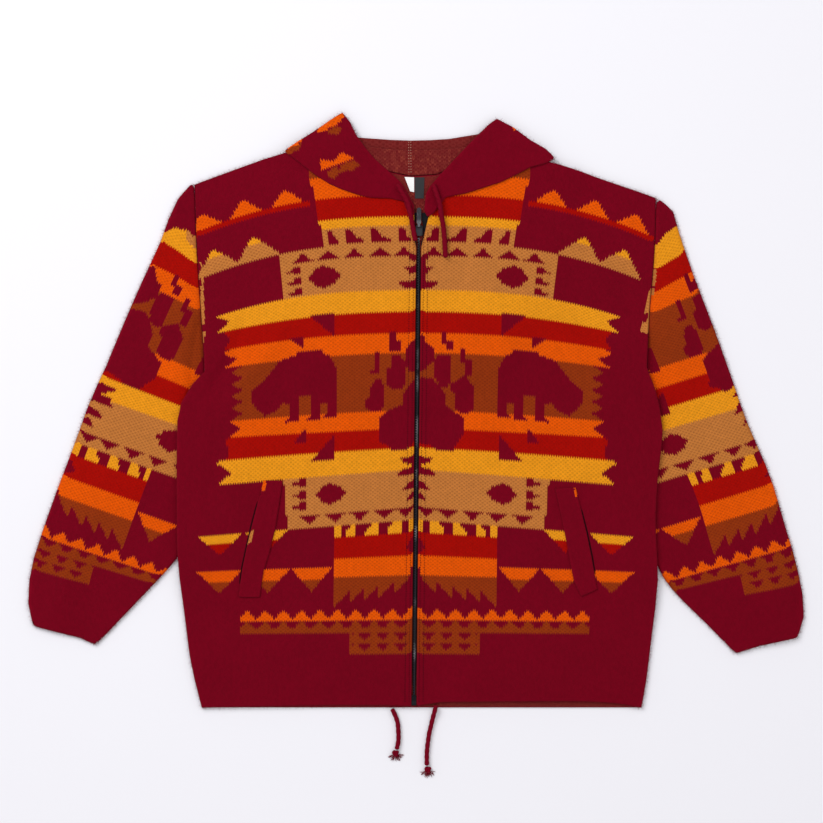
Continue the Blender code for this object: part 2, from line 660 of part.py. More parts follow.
def make_pull():
    """The pull tab: a barrel on the hinge axis, a neck, and a plate with a round end."""
    hinge = hinge_point()
    bm = bmesh.new()
    disc(bm, PULL["barrel"], -PULL["neck"], PULL["neck"])
    barrel = add_object("zip_pull", finish_mesh(bm, "zip_pull"), "gunmetal", 0.32, 0.9)
    half, neck, depth = PULL["half"], PULL["neck"], PULL["depth"] / 2
    neck_end, plate_start = PULL["neck_end"], PULL["plate_start"]
    outline = [(-neck, 0.0), (-neck, neck_end), (-half, plate_start)]
    outline += [
        (-half * math.cos(math.radians(a)), PULL["length"] - half + half * math.sin(math.radians(a)))
        for a in range(0, 181, 30)
    ]
    outline += [(half, plate_start), (neck, neck_end), (neck, 0.0)]
    bm = bmesh.new()
    low = [bm.verts.new((x, y, -depth)) for x, y in outline]
    high = [bm.verts.new((x, y, depth)) for x, y in outline]
    bm.faces.new(low)
    bm.faces.new(high)
    for i in range(len(outline)):
        following = (i + 1) % len(outline)
        bm.faces.new((low[i], low[following], high[following], high[i]))
    plate = add_object("pull_plate", finish_mesh(bm, "pull_plate"), "gunmetal", 0.32, 0.9)
    union(barrel, plate)
    holder = bpy.data.objects.new("pull_hinge", None)
    bpy.context.scene.collection.objects.link(holder)
    holder.location = hinge * MM
    holder.rotation_euler = (-math.radians(PULL["droop"]), 0, 0)
    for obj in (barrel, plate):
        obj.parent = holder


def make_labels():
    for name, rows, colour in (("neck_label", NECK_LABEL, "label"), ("size_tag", SIZE_TAG, "tag")):
        bm = bmesh.new()
        base = max(back_over(plan(*row)) for row in rows) + SEAM
        low = [bm.verts.new((*plan(*row), base)) for row in rows]
        high = [bm.verts.new((*plan(*row), base + LABEL_DEPTH)) for row in rows]
        bm.faces.new(low)
        bm.faces.new(high)
        for i in range(len(rows)):
            following = (i + 1) % len(rows)
            bm.faces.new((low[i], low[following], high[following], high[i]))
        add_object(name, finish_mesh(bm, name), colour, 0.7)


def make_cord(name, route, diameter):
    points = smooth_curve(route, diameter * CORD_STEP)
    data = bpy.data.curves.new(name, "CURVE")
    data.dimensions = "3D"
    data.bevel_depth = diameter / 2 * MM
    data.bevel_resolution = 2
    data.use_fill_caps = True
    spline = data.splines.new("POLY")
    spline.points.add(len(points) - 1)
    for slot, point in zip(spline.points, points):
        slot.co = (*(point * MM), 1)
    return add_object(name, data, "cord")


def make_cords():
    for name, rows in (("hood_cord_left", HOOD_CORD_LEFT), ("hood_cord_right", HOOD_CORD_RIGHT)):
        route = []
        for up, x, rise in rows:
            spot = plan(up, x)
            on_flap = (CLOTH + SEAM) * smoothstep((up - FLAP_TIP["up"]) / FLAP_TIP["ramp"])
            route.append(Vector((*spot, front_over(spot) + on_flap + rise)))
        make_cord(name, route, HOOD_CORD)
    for name, rows in (("hem_cord_left", HEM_CORD_LEFT), ("hem_cord_right", HEM_CORD_RIGHT)):
        route = [Vector((*plan(up, x), HEM_CORD / 2 + rise)) for up, x, rise in rows]
        make_cord(name, route, HEM_CORD)
    for name, (up, x, half_length, half_width, half_height) in KNOTS.items():
        bm = bmesh.new()
        bmesh.ops.create_uvsphere(bm, u_segments=10, v_segments=7, radius=1)
        bmesh.ops.scale(bm, vec=(half_width, half_length, half_height), verts=bm.verts)
        bmesh.ops.translate(bm, vec=(*plan(up, x), half_height), verts=bm.verts)
        add_object(name, finish_mesh(bm, name), "cord")


def main():
    for old in list(bpy.data.objects):
        bpy.data.objects.remove(old, do_unlink=True)
    make_layers()
    make_sleeve("sleeve_left", ARMHOLE_LEFT, SLEEVE_OUTER_LEFT, SLEEVE_INNER_LEFT, CUFF_LEFT, -0.5)
    make_sleeve("sleeve_right", ARMHOLE_RIGHT, SLEEVE_OUTER_RIGHT, SLEEVE_INNER_RIGHT, CUFF_RIGHT, 0.5)
    make_hood_back()
    make_slider()
    make_pull()
    make_labels()
    make_cords()


main()
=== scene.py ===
import math

import bmesh
import bpy
import numpy as np
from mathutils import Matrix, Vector
from mathutils.bvhtree import BVHTree
from mathutils.geometry import delaunay_2d_cdt


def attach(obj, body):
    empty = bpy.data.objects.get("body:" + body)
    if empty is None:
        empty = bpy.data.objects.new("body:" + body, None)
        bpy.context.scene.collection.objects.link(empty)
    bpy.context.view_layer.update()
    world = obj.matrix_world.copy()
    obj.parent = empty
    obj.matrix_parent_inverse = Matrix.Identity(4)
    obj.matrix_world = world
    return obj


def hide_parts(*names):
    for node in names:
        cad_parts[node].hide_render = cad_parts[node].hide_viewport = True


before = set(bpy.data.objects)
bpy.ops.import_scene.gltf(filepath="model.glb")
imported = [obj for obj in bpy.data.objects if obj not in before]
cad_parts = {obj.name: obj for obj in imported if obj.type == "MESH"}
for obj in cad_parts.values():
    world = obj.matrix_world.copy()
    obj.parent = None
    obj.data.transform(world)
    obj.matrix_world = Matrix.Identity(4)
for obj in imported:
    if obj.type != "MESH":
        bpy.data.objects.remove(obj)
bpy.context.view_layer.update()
mm = 0.001

# the garment lies on its back, the hem line is at hemY and the zip leans a little
garment = {"hemY": -374.0, "zipFoot": -3.3, "zipLean": 6.1 / 582.0, "cloth": 2.6}
knit = {"wale": 3.0, "course": 2.25, "tooth": 1.5}    # one stitch, mm; its middle hangs 1.5 courses


def zipAt(up):
    # where the zip stands, by height above the hem
    return garment["zipFoot"] + garment["zipLean"] * up


# camera and lights

view = {"centre": (-0.0063, -0.0014), "height": 2.4, "width": 1.037, "sensor": 36.0}


def linear(red, green, blue):
    values = [c / 255 for c in (red, green, blue)]
    return [c / 12.92 if c <= 0.04045 else ((c + 0.055) / 1.055) ** 2.4 for c in values]


def makeCamera():
    data = bpy.data.cameras.new("camera")
    data.sensor_width = view["sensor"]
    data.lens = view["sensor"] * view["height"] / view["width"]
    camera = bpy.data.objects.new("camera", data)
    camera.location = (*view["centre"], view["height"])
    bpy.context.scene.collection.objects.link(camera)
    bpy.context.scene.camera = camera


lamps = {    # place, size in metres, power in watts
    "key": {"at": (-1.7, 1.8, 2.4), "size": 1.7, "power": 70.0},
    "fill": {"at": (1.7, 0.2, 2.4), "size": 2.4, "power": 15.0},
    "front": {"at": (-0.2, -1.9, 2.2), "size": 2.2, "power": 9.0},
}
backdrop = {"size": 8.0, "colour": (233, 232, 236), "sky": (0.97, 0.965, 1.0), "skyStrength": 0.6}


def makeLights():
    for name, row in lamps.items():
        data = bpy.data.lights.new(name, "AREA")
        data.size = row["size"]
        data.energy = row["power"]
        lamp = bpy.data.objects.new(name, data)
        lamp.location = row["at"]
        aim = Vector((0.0, 0.0, 0.0)) - lamp.location
        lamp.rotation_euler = aim.to_track_quat("-Z", "Y").to_euler()
        bpy.context.scene.collection.objects.link(lamp)
    world = bpy.data.worlds.new("sky")
    world.use_nodes = True
    shade = world.node_tree.nodes["Background"]
    shade.inputs["Color"].default_value = (*backdrop["sky"], 1)
    shade.inputs["Strength"].default_value = backdrop["skyStrength"]
    bpy.context.scene.world = world
    bpy.context.scene.view_settings.view_transform = "Standard"


def makeFloor():
    half = backdrop["size"] / 2
    mesh = bpy.data.meshes.new("floor")
    corners = [(-half, -half, 0), (half, -half, 0), (half, half, 0), (-half, half, 0)]
    mesh.from_pydata(corners, [], [(0, 1, 2, 3)])
    floor = bpy.data.objects.new("floor", mesh)
    bpy.context.scene.collection.objects.link(floor)
    material = bpy.data.materials.new("paper")
    material.use_nodes = True
    shader = material.node_tree.nodes["Principled BSDF"]
    shader.inputs["Base Color"].default_value = (*linear(*backdrop["colour"]), 1)
    shader.inputs["Roughness"].default_value = 0.9
    shader.inputs["Specular IOR Level"].default_value = 0.1
    mesh.materials.append(material)


# yarn colours, and the knitting chart, most of it mirrored at the zip

yarn = {
    "burgundy": linear(114, 1, 24),
    "yellow": linear(234, 150, 25),
    "orange": linear(229, 86, 1),
    "red": linear(162, 8, 1),
    "brown": linear(144, 52, 11),
    "tan": linear(195, 121, 56),
    "reverse": linear(116, 36, 34),
}
gapShadeContrast = {    # painted shade: how dark the gaps between the stitches show
    "burgundy": 0.08, "yellow": 0.26, "orange": 0.26, "red": 0.2, "brown": 0.34, "tan": 0.36, "reverse": 0.5}
yarnNames = list(yarn)
yarnTable = np.array([(*yarn[name], gapShadeContrast[name]) for name in yarnNames])    # the gap's painted shade in alpha


def toothed(rows, out, inner, period):
    # a band's outer end: points that run out to one stitch and back in to another
    share = np.abs((rows / period) % 1.0 - 0.5) * 2
    return inner + (out - inner) * share


def stepped(value, step):
    return np.floor(value / step) * step


def pyramid(c, r, centre, foot, half, height, turned=False):
    # a small stepped pyramid on its foot row, or hanging from it
    rise = (foot - r if turned else r - foot)
    width = half * (1 - stepped(np.clip(rise, 0, None), 1.0) / height)
    return (rise >= 0) & (rise < height) & (np.abs(c - centre) < width)


tierHalves = (4.4, 3.2, 2.3, 1.4, 0.7)    # half width of each row, from the foot
diamondSteps = ((1.0, 6.2), (2.8, 5.2), (4.7, 4.2), (5.3, 2.2), (6.7, 1.2))    # half width, half height
treeSteps = (    # rows above the foot at top and bottom, half width at bottom and top
    (19.5, 16, 4.6, 2.5), (14, 9.5, 7.2, 3.6), (6, 1.5, 9.2, 6.4), (1.5, -4.5, 0.6, 7.2))


def tiers(c, r, centre, foot, turned=False):
    rise = np.floor(foot - r if turned else r - foot)
    halves = np.array(tierHalves)[np.clip(rise, 0, len(tierHalves) - 1).astype(int)]
    return (rise >= 0) & (rise < len(tierHalves)) & (np.abs(c - centre) < halves)


def diamond(c, r, centre, middle):
    found = np.zeros(c.shape, bool)
    for half, height in diamondSteps:
        found |= (np.abs(c - centre) < half) & (np.abs(r - middle) < height)
    return found


def tree(c, r, foot, turned=False):
    # tiers that stand on the zip
    found = np.zeros(c.shape, bool)
    rise = foot - r if turned else r - foot
    for top, bottom, wide, narrow in treeSteps:
        share = np.clip((rise - bottom) / (top - bottom), 0, 1)
        half = narrow + (wide - narrow) * stepped(share, 0.25)
        found |= (rise >= bottom) & (rise < top) & (c < half)
    return found


bear = {    # outlines in stitches from the zip and rows from the hem, head outward
    "body": ((34.0, 178), (34.0, 187), (34.6, 194), (36, 196.5), (37.4, 199.5), (39, 200.5), (40.4, 203),
             (50.6, 203), (51.5, 201.5), (54, 200.5), (58.2, 199), (62, 193), (66, 187), (70.2, 183),
             (70.2, 178), (68.5, 174), (67, 170.5), (64.5, 171), (62.5, 175), (58.5, 177), (55, 174),
             (49.6, 178), (45, 178), (41, 172.8), (38, 172.8)),
    "legs": (((34.0, 179), (38.0, 179), (38.0, 167), (40.4, 165.4), (34.0, 165.4)),
             ((41.2, 180), (45.4, 180), (45.4, 166), (48.0, 163.6), (41.2, 163.6)),
             ((49.8, 180), (54.2, 180), (54.2, 166.4), (56.6, 163.2), (49.8, 164.4)),
             ((56.0, 180), (60.5, 178), (66.0, 171), (64.5, 168), (58.0, 172))),
}
paw = {    # outlines in signed stitches, as the two fronts' halves don't match: toes, claws, pad
    "left": (
        ((-11.5, 211), (-9.4, 211), (-9.4, 205.7), (-7.2, 205.7), (-7.2, 200.3), (-11.5, 200.3)),
        ((-18.2, 199.7), (-15.8, 199.7), (-15.8, 187.9), (-20.2, 187.9), (-20.2, 190.4), (-18.2, 190.4)),
        ((-11.3, 197.6), (-7.2, 197.6), (-5.1, 194), (-5.1, 182), (-6.6, 179), (-10.6, 179), (-13.4, 182),
         (-13.4, 190.4), (-11.3, 191)),
        ((-17.8, 184.8), (-15.6, 184.8), (-13.7, 180), (-13.7, 171), (-15.5, 167.2), (-19.7, 167.2),
         (-22, 170), (-22, 174), (-19.8, 175.4), (-19.8, 180.4)),
        ((0.5, 209), (-0.6, 206), (-3.8, 203.6), (-5.4, 199), (-5.4, 192.5), (-3.5, 189.3), (-1.3, 187.5),
         (0.5, 185.8)),
        ((0.5, 183), (-2.1, 182.5), (-4.6, 179), (-5.9, 176), (-5.9, 170.4), (-8.6, 169), (-13.1, 166.8),
         (-15.5, 164), (-15.5, 149.8), (-12.6, 148.3), (-10.5, 145), (-4.6, 145.4), (-1.3, 148.3),
         (0.5, 148.5)),
    ),
    "right": (
        ((10.4, 211), (12.4, 211), (12.4, 206.5), (14.6, 206.5), (14.6, 200.6), (12.4, 200.6),
         (12.4, 204.3), (10.4, 204.3)),
        ((18.4, 202.5), (20.4, 202.5), (20.4, 196.5), (22.6, 196.5), (22.6, 187), (20.4, 187), (20.4, 194),
         (18.4, 194)),
        ((8.3, 198.2), (13.9, 198.2), (13.9, 182.5), (12.6, 180.4), (10.2, 180.4), (8.4, 183), (6.7, 187.5),
         (6.7, 194.7)),
        ((18.9, 186.9), (20.3, 186.9), (22.4, 183.4), (24.4, 180.4), (24.4, 169), (22.2, 166.4), (18, 166.4),
         (16.1, 169), (16.1, 177), (13.9, 178.3), (13.9, 182.5), (15.8, 183.4)),
        ((-0.5, 209), (1.9, 209), (4.0, 204), (6.7, 201.8), (6.7, 194), (3.5, 190.4), (1.9, 188.3),
         (-0.5, 187)),
        ((-0.5, 184), (2.4, 185), (6.2, 185), (9.4, 181), (11.8, 176), (11.8, 170.4), (13.9, 168.3),
         (19.8, 164), (19.8, 154.7), (16.9, 149), (15.8, 145.1), (8.3, 145.1), (6.2, 147.6), (0.8, 148.6),
         (-0.5, 148.6)),
    ),
}


def inside(c, r, outline):
    # which stitches an outline holds
    found = np.zeros(c.shape, bool)
    for (c0, r0), (c1, r1) in zip(outline, outline[1:] + outline[:1]):
        if r0 == r1:
            continue
        crosses = (r0 > r) != (r1 > r)
        found ^= crosses & (c < c0 + (r - r0) / (r1 - r0) * (c1 - c0))
    return found


# each part of the chart lays yarns by stitches from the zip, c, and rows above the hem, r

def layYoke(lay, c, r):
    column = c < 38 + np.clip(r - 262, 0, 50) * 0.045
    lay("brown", column & (r >= 298.8) & (r < 308))
    lay("orange", column & (r >= 286.7) & (r < 298.8))
    lay("red", column & (r >= 274.9) & (r < 286.7))
    lay("yellow", column & (r >= 269.9) & (r < 274.9))
    lay("tan", column & (r >= 260.4) & (r < 269.9))
    for outer, width in ((36.2, 4.5), (29.2, 7.4), (19.2, 8.0), (7.7, 4.4)):
        share = np.clip((r - 261) / 8.3, 0, 1)
        reach = 1.8 + (width - 1.8) * (1 - stepped(share, 0.2)) ** 1.5
        lay("burgundy", (r >= 261) & (r < 269.3) & (c < outer) & (c > outer - reach))
    for centre in (49.4, 65.0, 80.0):
        lay("red", (r >= 284.0) & (r < 287) & (np.abs(c - centre) < 7.9))
        lay("orange", pyramid(c, r, centre, 287, 5.7, 8.2))
    lay("tan", (r >= 260) & (r < 261.2) & (c >= 58) & (c < 84))
    for centre in (64.4, 80.2):
        lay("tan", pyramid(c, r, centre, 260, 8.6, 13.4))
        lay("yellow", pyramid(c, r, centre, 260, 8.6, 13.4) & (r >= 269.0))


def layUpperBlock(lay, c, r, stitches):
    lay("tan", (c < 56) & (r >= 234) & (r < 260.4))
    for centre in (6.0, 15.4, 26.0, 36.6, 46.9):
        lay("burgundy", tiers(c, r, centre, 253.2))
    lay("burgundy", diamond(c, r, 38.7, 243.4))
    for foot in (247.0, 240.6, 234.6):
        lay("burgundy", (np.abs(c - 49.9) < 1.5) & (r >= foot) & (r < foot + 4.4))
        lay("burgundy", (c > 50) & (c < 54) & (np.abs(r - foot - 1.7) < 1.1 - (c - 51.3) * 0.25))
    lay("burgundy", tree(c, r, 233.5))
    lay("burgundy", (r >= 230.0) & (r < 252.5) & (c < np.where(stitches > 0, 2.6, 0.9)))


def layBands(lay, c, r, sleeve):
    # each main band has a pointed outer end, but runs on round a sleeve
    for name, top, bottom, out, back, period in (
        ("yellow", 234.0, 222.3, 84.0, 79.0, 11.6), ("red", 222.3, 210.0, 81.5, 78.5, 12.0),
        ("orange", 210.0, 198.8, 81.5, 76.0, 9.0), ("brown", 198.8, 167.4, 78.5, 73.5, 7.0),
        ("orange", 167.4, 156.8, 80.0, 74.5, 10.5), ("red", 156.8, 145.6, 81.0, 79.5, 9.0),
        ("yellow", 145.6, 133.8, 85.0, 78.5, 11.0),
    ):
        end = toothed(r - bottom, out, back, period)
        lay(name, (r >= bottom) & (r < top) & (c < (300 if sleeve else end)))
    for outer, top, bottom, width, turned in (
        (44.7, 222.6, 210.5, 9.7, True), (53.0, 210.6, 205.0, 5.0, True), (52.0, 158.6, 151.6, 4.6, False),
        (44.4, 154.8, 142.0, 9.6, False),
    ):
        share = (top - r) / (top - bottom)
        reach = width * (1 - share if turned else share)
        inner = outer - width
        lay("burgundy", (r >= bottom) & (r < top) & (c >= inner) & (c < inner + 0.6 + reach))


def layAnimals(lay, c, r, stitches):
    lay("burgundy", inside(c, r, bear["body"]))
    for leg in bear["legs"]:
        lay("burgundy", inside(c, r, leg))
    for half, here in (("left", stitches < 0), ("right", stitches >= 0)):
        for outline in paw[half]:
            lay("burgundy", inside(stitches, r, outline) & here)


def layLowerBlock(lay, c, r):
    lay("tan", (c < 55 + (r - 106) * 0.06) & (r >= 105.8) & (r < 133.8))
    for centre in (4.3, 13.4, 24.1, 34.8, 45.8):
        lay("burgundy", tiers(c, r, centre, 113.2, True))
    lay("burgundy", diamond(c, r, 36.8, 124.3))
    for foot in (128.8, 122.2, 115.8):
        lay("burgundy", (np.abs(c - 48.9) < 1.5) & (r >= foot) & (r < foot + 4.8))
        lay("burgundy", (c > 49) & (c < 53) & (np.abs(r - foot - 2.2) < 1.1 - (c - 50.3) * 0.25))
    lay("burgundy", tree(c, r, 136.5, True))


def layFlames(lay, c, r):
    # a castle row, red and orange bands, and brown flames
    block = c < 34.7
    lay("yellow", block & (r >= 99.3) & (r < 105.8))
    for outer, wide, narrow in ((32.2, 3.9, 2.0), (25.7, 7.0, 4.0), (16.1, 6.5, 3.7), (6.0, 3.0, 2.8)):
        share = stepped(np.clip((r - 100) / 5.8, 0, 1), 0.25)
        reach = narrow + (wide - narrow) * share * 1.2
        lay("burgundy", (r >= 98.8) & (r < 105.8) & (c < outer) & (c > outer - reach))
    lay("red", block & (r >= 86.2) & (r < 99.3))
    lay("burgundy", (c < 4.6 - np.abs(r - 91) * 0.75) & (r > 84) & (r < 98))
    lay("orange", block & (r >= 75.0) & (r < 86.2) & (c > 0.8 + (82 - r) * 0.22))
    flame = (34.7 - c) / 6.4
    tip = 58.0 + 1.6 * np.floor(flame) + 9.0 * (flame % 1.0)
    lay("brown", block & (r >= tip) & (r < 75.0) & (c > 1.5 + (75 - r) * 0.75))


def layHanging(lay, c, r):
    # triangles that hang beside the flames
    for centre, half, top, split, foot, high, low in (
        (84.0, 9.6, 106.4, 100.2, 92.0, "yellow", "red"), (64.2, 9.4, 106.4, 100.2, 92.0, "yellow", "red"),
        (84.2, 9.4, 80.6, 74.2, 67.2, "orange", "brown"), (63.4, 9.4, 80.6, 74.2, 67.2, "orange", "brown"),
        (44.6, 8.6, 80.6, 74.2, 67.2, "orange", "brown"),
    ):
        width = half * (r - foot) / (top - foot)
        hangs = (r >= foot) & (r < top) & (np.abs(c - centre) < width)
        lay(high, hangs & (r >= split))
        lay(low, hangs & (r < split))


def layBorder(lay, c, r):
    # small pyramids, with a check of them below
    wide = c < 75.5
    lay("brown", wide & (r >= 42.8) & (r < 50.4))
    lay("brown", (c < 27.8) & (r >= 31.4) & (r < 42.8))
    for number in range(10):
        centre = 2.0 + 7.78 * number
        lay("orange", pyramid(c, r, centre, 51.2, 3.5, 5.0) & wide)
        lay("burgundy", pyramid(c, r, centre + 3.9, 50.4, 3.4, 4.8, True) & wide)
        for foot in (43.0, 37.4):
            lay("burgundy", pyramid(c, r, centre + 3.9, foot, 2.8, 4.0, True) & (c < 27.0))
    lay("orange", wide & (r >= 50.4) & (r < 51.4))


def chartOf(stitches, rows, sleeve=False):
    # yarn number of each stitch; the animals' stitches count left of the zip as negative
    c, r = np.abs(stitches), rows
    picture = np.zeros(c.shape, int)

    def lay(name, where):
        picture[where] = yarnNames.index(name)

    layYoke(lay, c, r)
    layUpperBlock(lay, c, r, stitches)
    layBands(lay, c, r, sleeve)
    layAnimals(lay, c, r, stitches)
    layLowerBlock(lay, c, r)
    layFlames(lay, c, r)
    layHanging(lay, c, r)
    layBorder(lay, c, r)
    return picture


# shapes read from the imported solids

def cadMesh(node):
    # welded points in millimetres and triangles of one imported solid
    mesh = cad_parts[node].data
    mesh.calc_loop_triangles()
    points = np.array([v.co for v in mesh.vertices]) / mm
    triangles = np.array([t.vertices for t in mesh.loop_triangles])
    _, first, where = np.unique(np.round(points, 3), axis=0, return_index=True, return_inverse=True)
    return points[first], where.reshape(-1)[triangles]


def outlineOf(node, up=True):
    # plan outline of a solid's upper or under side, anticlockwise
    points, triangles = cadMesh(node)
    a, b, c = (points[triangles[:, i]] for i in range(3))
    normal = np.cross(b - a, c - a)
    tilt = normal[:, 2] / np.maximum(np.linalg.norm(normal, axis=1), 1e-12)
    chosen = triangles[tilt > 0.05] if up else triangles[tilt < -0.05][:, ::-1]
    sides = {(int(t[i]), int(t[(i + 1) % 3])) for t in chosen for i in range(3)}
    following = {}
    for start, end in sorted(sides):
        if (end, start) not in sides:
            following.setdefault(start, []).append(end)
    loops = []
    while following:
        loop = [next(iter(following))]
        while loop[-1] in following:
            ends = following[loop[-1]]
            here = ends.pop()
            if not ends:
                del following[loop[-1]]
            if here == loop[0]:
                break
            loop.append(here)
        loops.append(points[loop][:, :2])
    return max(loops, key=cutArea)


def cutArea(outline):
    x, y = outline[:, 0] * mm, outline[:, 1] * mm
    return abs(float((x * np.roll(y, -1) - y * np.roll(x, -1)).sum())) / 2


def toOutline(points, outline):
    # distance to a closed outline, negative inside it, and the nearest point on it
    a = outline
    b = np.roll(outline, -1, axis=0)
    along = b - a
    square = np.maximum((along ** 2).sum(1), 1e-9)
    distance = np.empty(len(points))
    nearest = np.empty((len(points), 2))
    for start in range(0, len(points), 8000):
        p = points[start:start + 8000]
        share = np.clip(((p[:, None] - a) * along).sum(2) / square, 0, 1)
        foot = a + along * share[:, :, None]
        gap = ((p[:, None] - foot) ** 2).sum(2)
        best = gap.argmin(1)
        rows = np.arange(len(p))
        crosses = (a[:, 1] > p[:, None, 1]) != (b[:, 1] > p[:, None, 1])
        rise = np.where(along[:, 1] == 0, 1, along[:, 1])
        reach = a[:, 0] + (p[:, None, 1] - a[:, 1]) * along[:, 0] / rise
        within = (crosses & (p[:, None, 0] < reach)).sum(1) % 2 == 1
        distance[start:start + 8000] = np.sqrt(gap[rows, best]) * np.where(within, -1, 1)
        nearest[start:start + 8000] = foot[rows, best]
    return distance, nearest


def blurred(grid, width):
    reach = int(3 * width) + 1
    kernel = np.exp(-0.5 * (np.arange(-reach, reach + 1) / width) ** 2)
    for axis in (0, 1):
        grid = np.apply_along_axis(lambda line: np.convolve(line, kernel, "same"), axis, grid)
    return grid


def heightField(nodes, up=True, soften=12.0, step=5.0):
    # smooth height of one side of some solids, over their whole plan and a little beyond
    pads = []
    for node in nodes:
        points, triangles = cadMesh(node)
        pads.append((points, BVHTree.FromPolygons(points.tolist(), triangles.tolist())))
    low = np.min([p.min(0) for p, _ in pads], axis=0)[:2] - 12
    high = np.max([p.max(0) for p, _ in pads], axis=0)[:2] + 12
    across = np.arange(low[0], high[0], step)
    along = np.arange(low[1], high[1], step)
    found = np.zeros((len(along), len(across)))
    weight = np.zeros(found.shape)
    start, ray = (60, Vector((0, 0, -1))) if up else (-60, Vector((0, 0, 1)))
    for j, y in enumerate(along):
        for i, x in enumerate(across):
            hits = [tree.ray_cast(Vector((x, y, start)), ray)[0] for _, tree in pads]
            hits = [hit.z for hit in hits if hit]
            if hits:
                found[j, i] = max(hits) if up else min(hits)
                weight[j, i] = 1
    share = blurred(weight, soften / step)
    level = blurred(found * weight, soften / step) / np.maximum(share, 1e-9)
    level[share < 1e-4] = found[weight > 0].mean()

    def at(x, y):
        i = np.clip((x - low[0]) / step, 0, len(across) - 1.001)
        j = np.clip((y - low[1]) / step, 0, len(along) - 1.001)
        i0, j0 = i.astype(int), j.astype(int)
        s, t = i - i0, j - j0
        near = level[j0, i0] * (1 - s) + level[j0, i0 + 1] * s
        far = level[j0 + 1, i0] * (1 - s) + level[j0 + 1, i0 + 1] * s
        return near * (1 - t) + far * t

    return at


def creaseHeight(x, y, creases):
    # soft ridges and troughs: middle, half length, half width, direction, bend, height
    height = np.zeros(x.shape)
    for row in creases:
        turn = math.radians(row["turn"])
        dx, dy = x - row["at"][0], y - row["at"][1]
        along = (dx * math.cos(turn) + dy * math.sin(turn)) / row["long"]
        across = (dy * math.cos(turn) - dx * math.sin(turn) - row.get("bend", 0) * along ** 2) / row["wide"]
        height += row["rise"] * np.exp(-along ** 4 - across ** 2 * (1 + 0.35 * np.tanh(across)))
    return height


waves = {"count": 14, "length": (60, 190)}


def unevenness(x, y, seed, amount):
    # the slight waviness of cloth that lies by itself
    random = np.random.default_rng(seed)
    height = np.zeros(x.shape)
    for _ in range(waves["count"]):
        length = random.uniform(*waves["length"])
        turn = random.uniform(0, math.pi)
        phase = random.uniform(0, 2 * math.pi)
        height += np.sin((x * math.cos(turn) + y * math.sin(turn)) * 2 * math.pi / length + phase)
    return height * amount / waves["count"] ** 0.5


# cloth as dense fabric grids

def makePiece(name, points, faces, uvs, colours, materials, slots=None, mend=False):
    # one mesh from points in mm, with stitch coordinates and a yarn colour at every corner
    mesh = bpy.data.meshes.new(name)
    mesh.from_pydata((np.asarray(points) * mm).tolist(), [], faces)
    corners = np.empty(len(mesh.loops), np.int32)
    mesh.loops.foreach_get("vertex_index", corners)
    layer = mesh.uv_layers.new(name="stitch")
    layer.data.foreach_set("uv", np.asarray(uvs, np.float32)[corners].ravel())
    counts = np.array([len(face) for face in faces])
    values = np.repeat(np.asarray(colours, np.float32), counts, axis=0)
    paint = mesh.color_attributes.new(name="yarn", type="FLOAT_COLOR", domain="CORNER")
    paint.data.foreach_set("color", values.ravel())
    for material in materials:
        mesh.materials.append(material)
    if slots is not None:
        mesh.polygons.foreach_set("material_index", np.asarray(slots, np.int32))
    mesh.polygons.foreach_set("use_smooth", np.ones(len(faces), bool))
    if mend:
        shell = bmesh.new()
        shell.from_mesh(mesh)
        bmesh.ops.holes_fill(shell, edges=[e for e in shell.edges if e.is_boundary], sides=12)
        shell.to_mesh(mesh)
        shell.free()
    mesh.update()
    piece = bpy.data.objects.new(name, mesh)
    bpy.context.scene.collection.objects.link(piece)
    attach(piece, "jacket")
    return piece


def plainPiece(name, points, faces, material):
    points = np.array(points)
    return makePiece(name, points, faces, points[:, :2], np.ones((len(faces), 4)), [material])


def boundaryOf(quads, total):
    # directed sides that only one face has
    start, end = quads.ravel(), np.roll(quads, -1, axis=1).ravel()
    key, back = start * total + end, end * total + start
    return np.nonzero(~np.isin(key, back))[0], start, end


def wholeCloth(quads, corner, total, spot):
    # drops faces that hang on by one corner, then everything but the main stretch
    while True:
        rim, start, _ = boundaryOf(quads, total)
        points, times = np.unique(start[rim], return_counts=True)
        pinched = points[times > 1]
        if not len(pinched):
            break
        touching = np.isin(quads, pinched).any(1)
        depth = np.where(touching, spot, np.inf)
        cut = np.zeros(len(quads), bool)
        for point in pinched:
            mine = np.nonzero((quads == point).any(1))[0]
            cut[mine[depth[mine].argmax()]] = True
        quads, corner, spot = quads[~cut], corner[~cut], spot[~cut]
    label = np.arange(total)
    while True:
        low = label[quads].min(1)
        after = label.copy()
        np.minimum.at(after, quads.ravel(), np.repeat(low, 4))
        after = after[after]
        if (after == label).all():
            break
        label = after
    groups, sizes = np.unique(label[quads[:, 0]], return_counts=True)
    return label[quads[:, 0]] == groups[sizes.argmax()], quads, corner


def roundEdge(out, steps):
    # how far out and how far down, as a share of the depth, at each step of a fold
    angles = [math.pi * step / (steps + 1) for step in range(1, steps + 1)]
    return [(out * math.sin(angle), 0.5 - 0.5 * math.cos(angle)) for angle in angles]


gapingEdge = (
    (2.5, 0.06), (3.4, 0.22), (2.6, 0.40), (-14.0, 0.46), (-14.0, 0.54), (2.6, 0.60), (3.4, 0.78),
    (2.5, 0.94))
layeredEdge = (
    (1.1, 0.05), (1.8, 0.2), (1.1, 0.4), (-2.2, 0.48), (-2.2, 0.52), (1.1, 0.6), (1.8, 0.8), (1.1, 0.95))


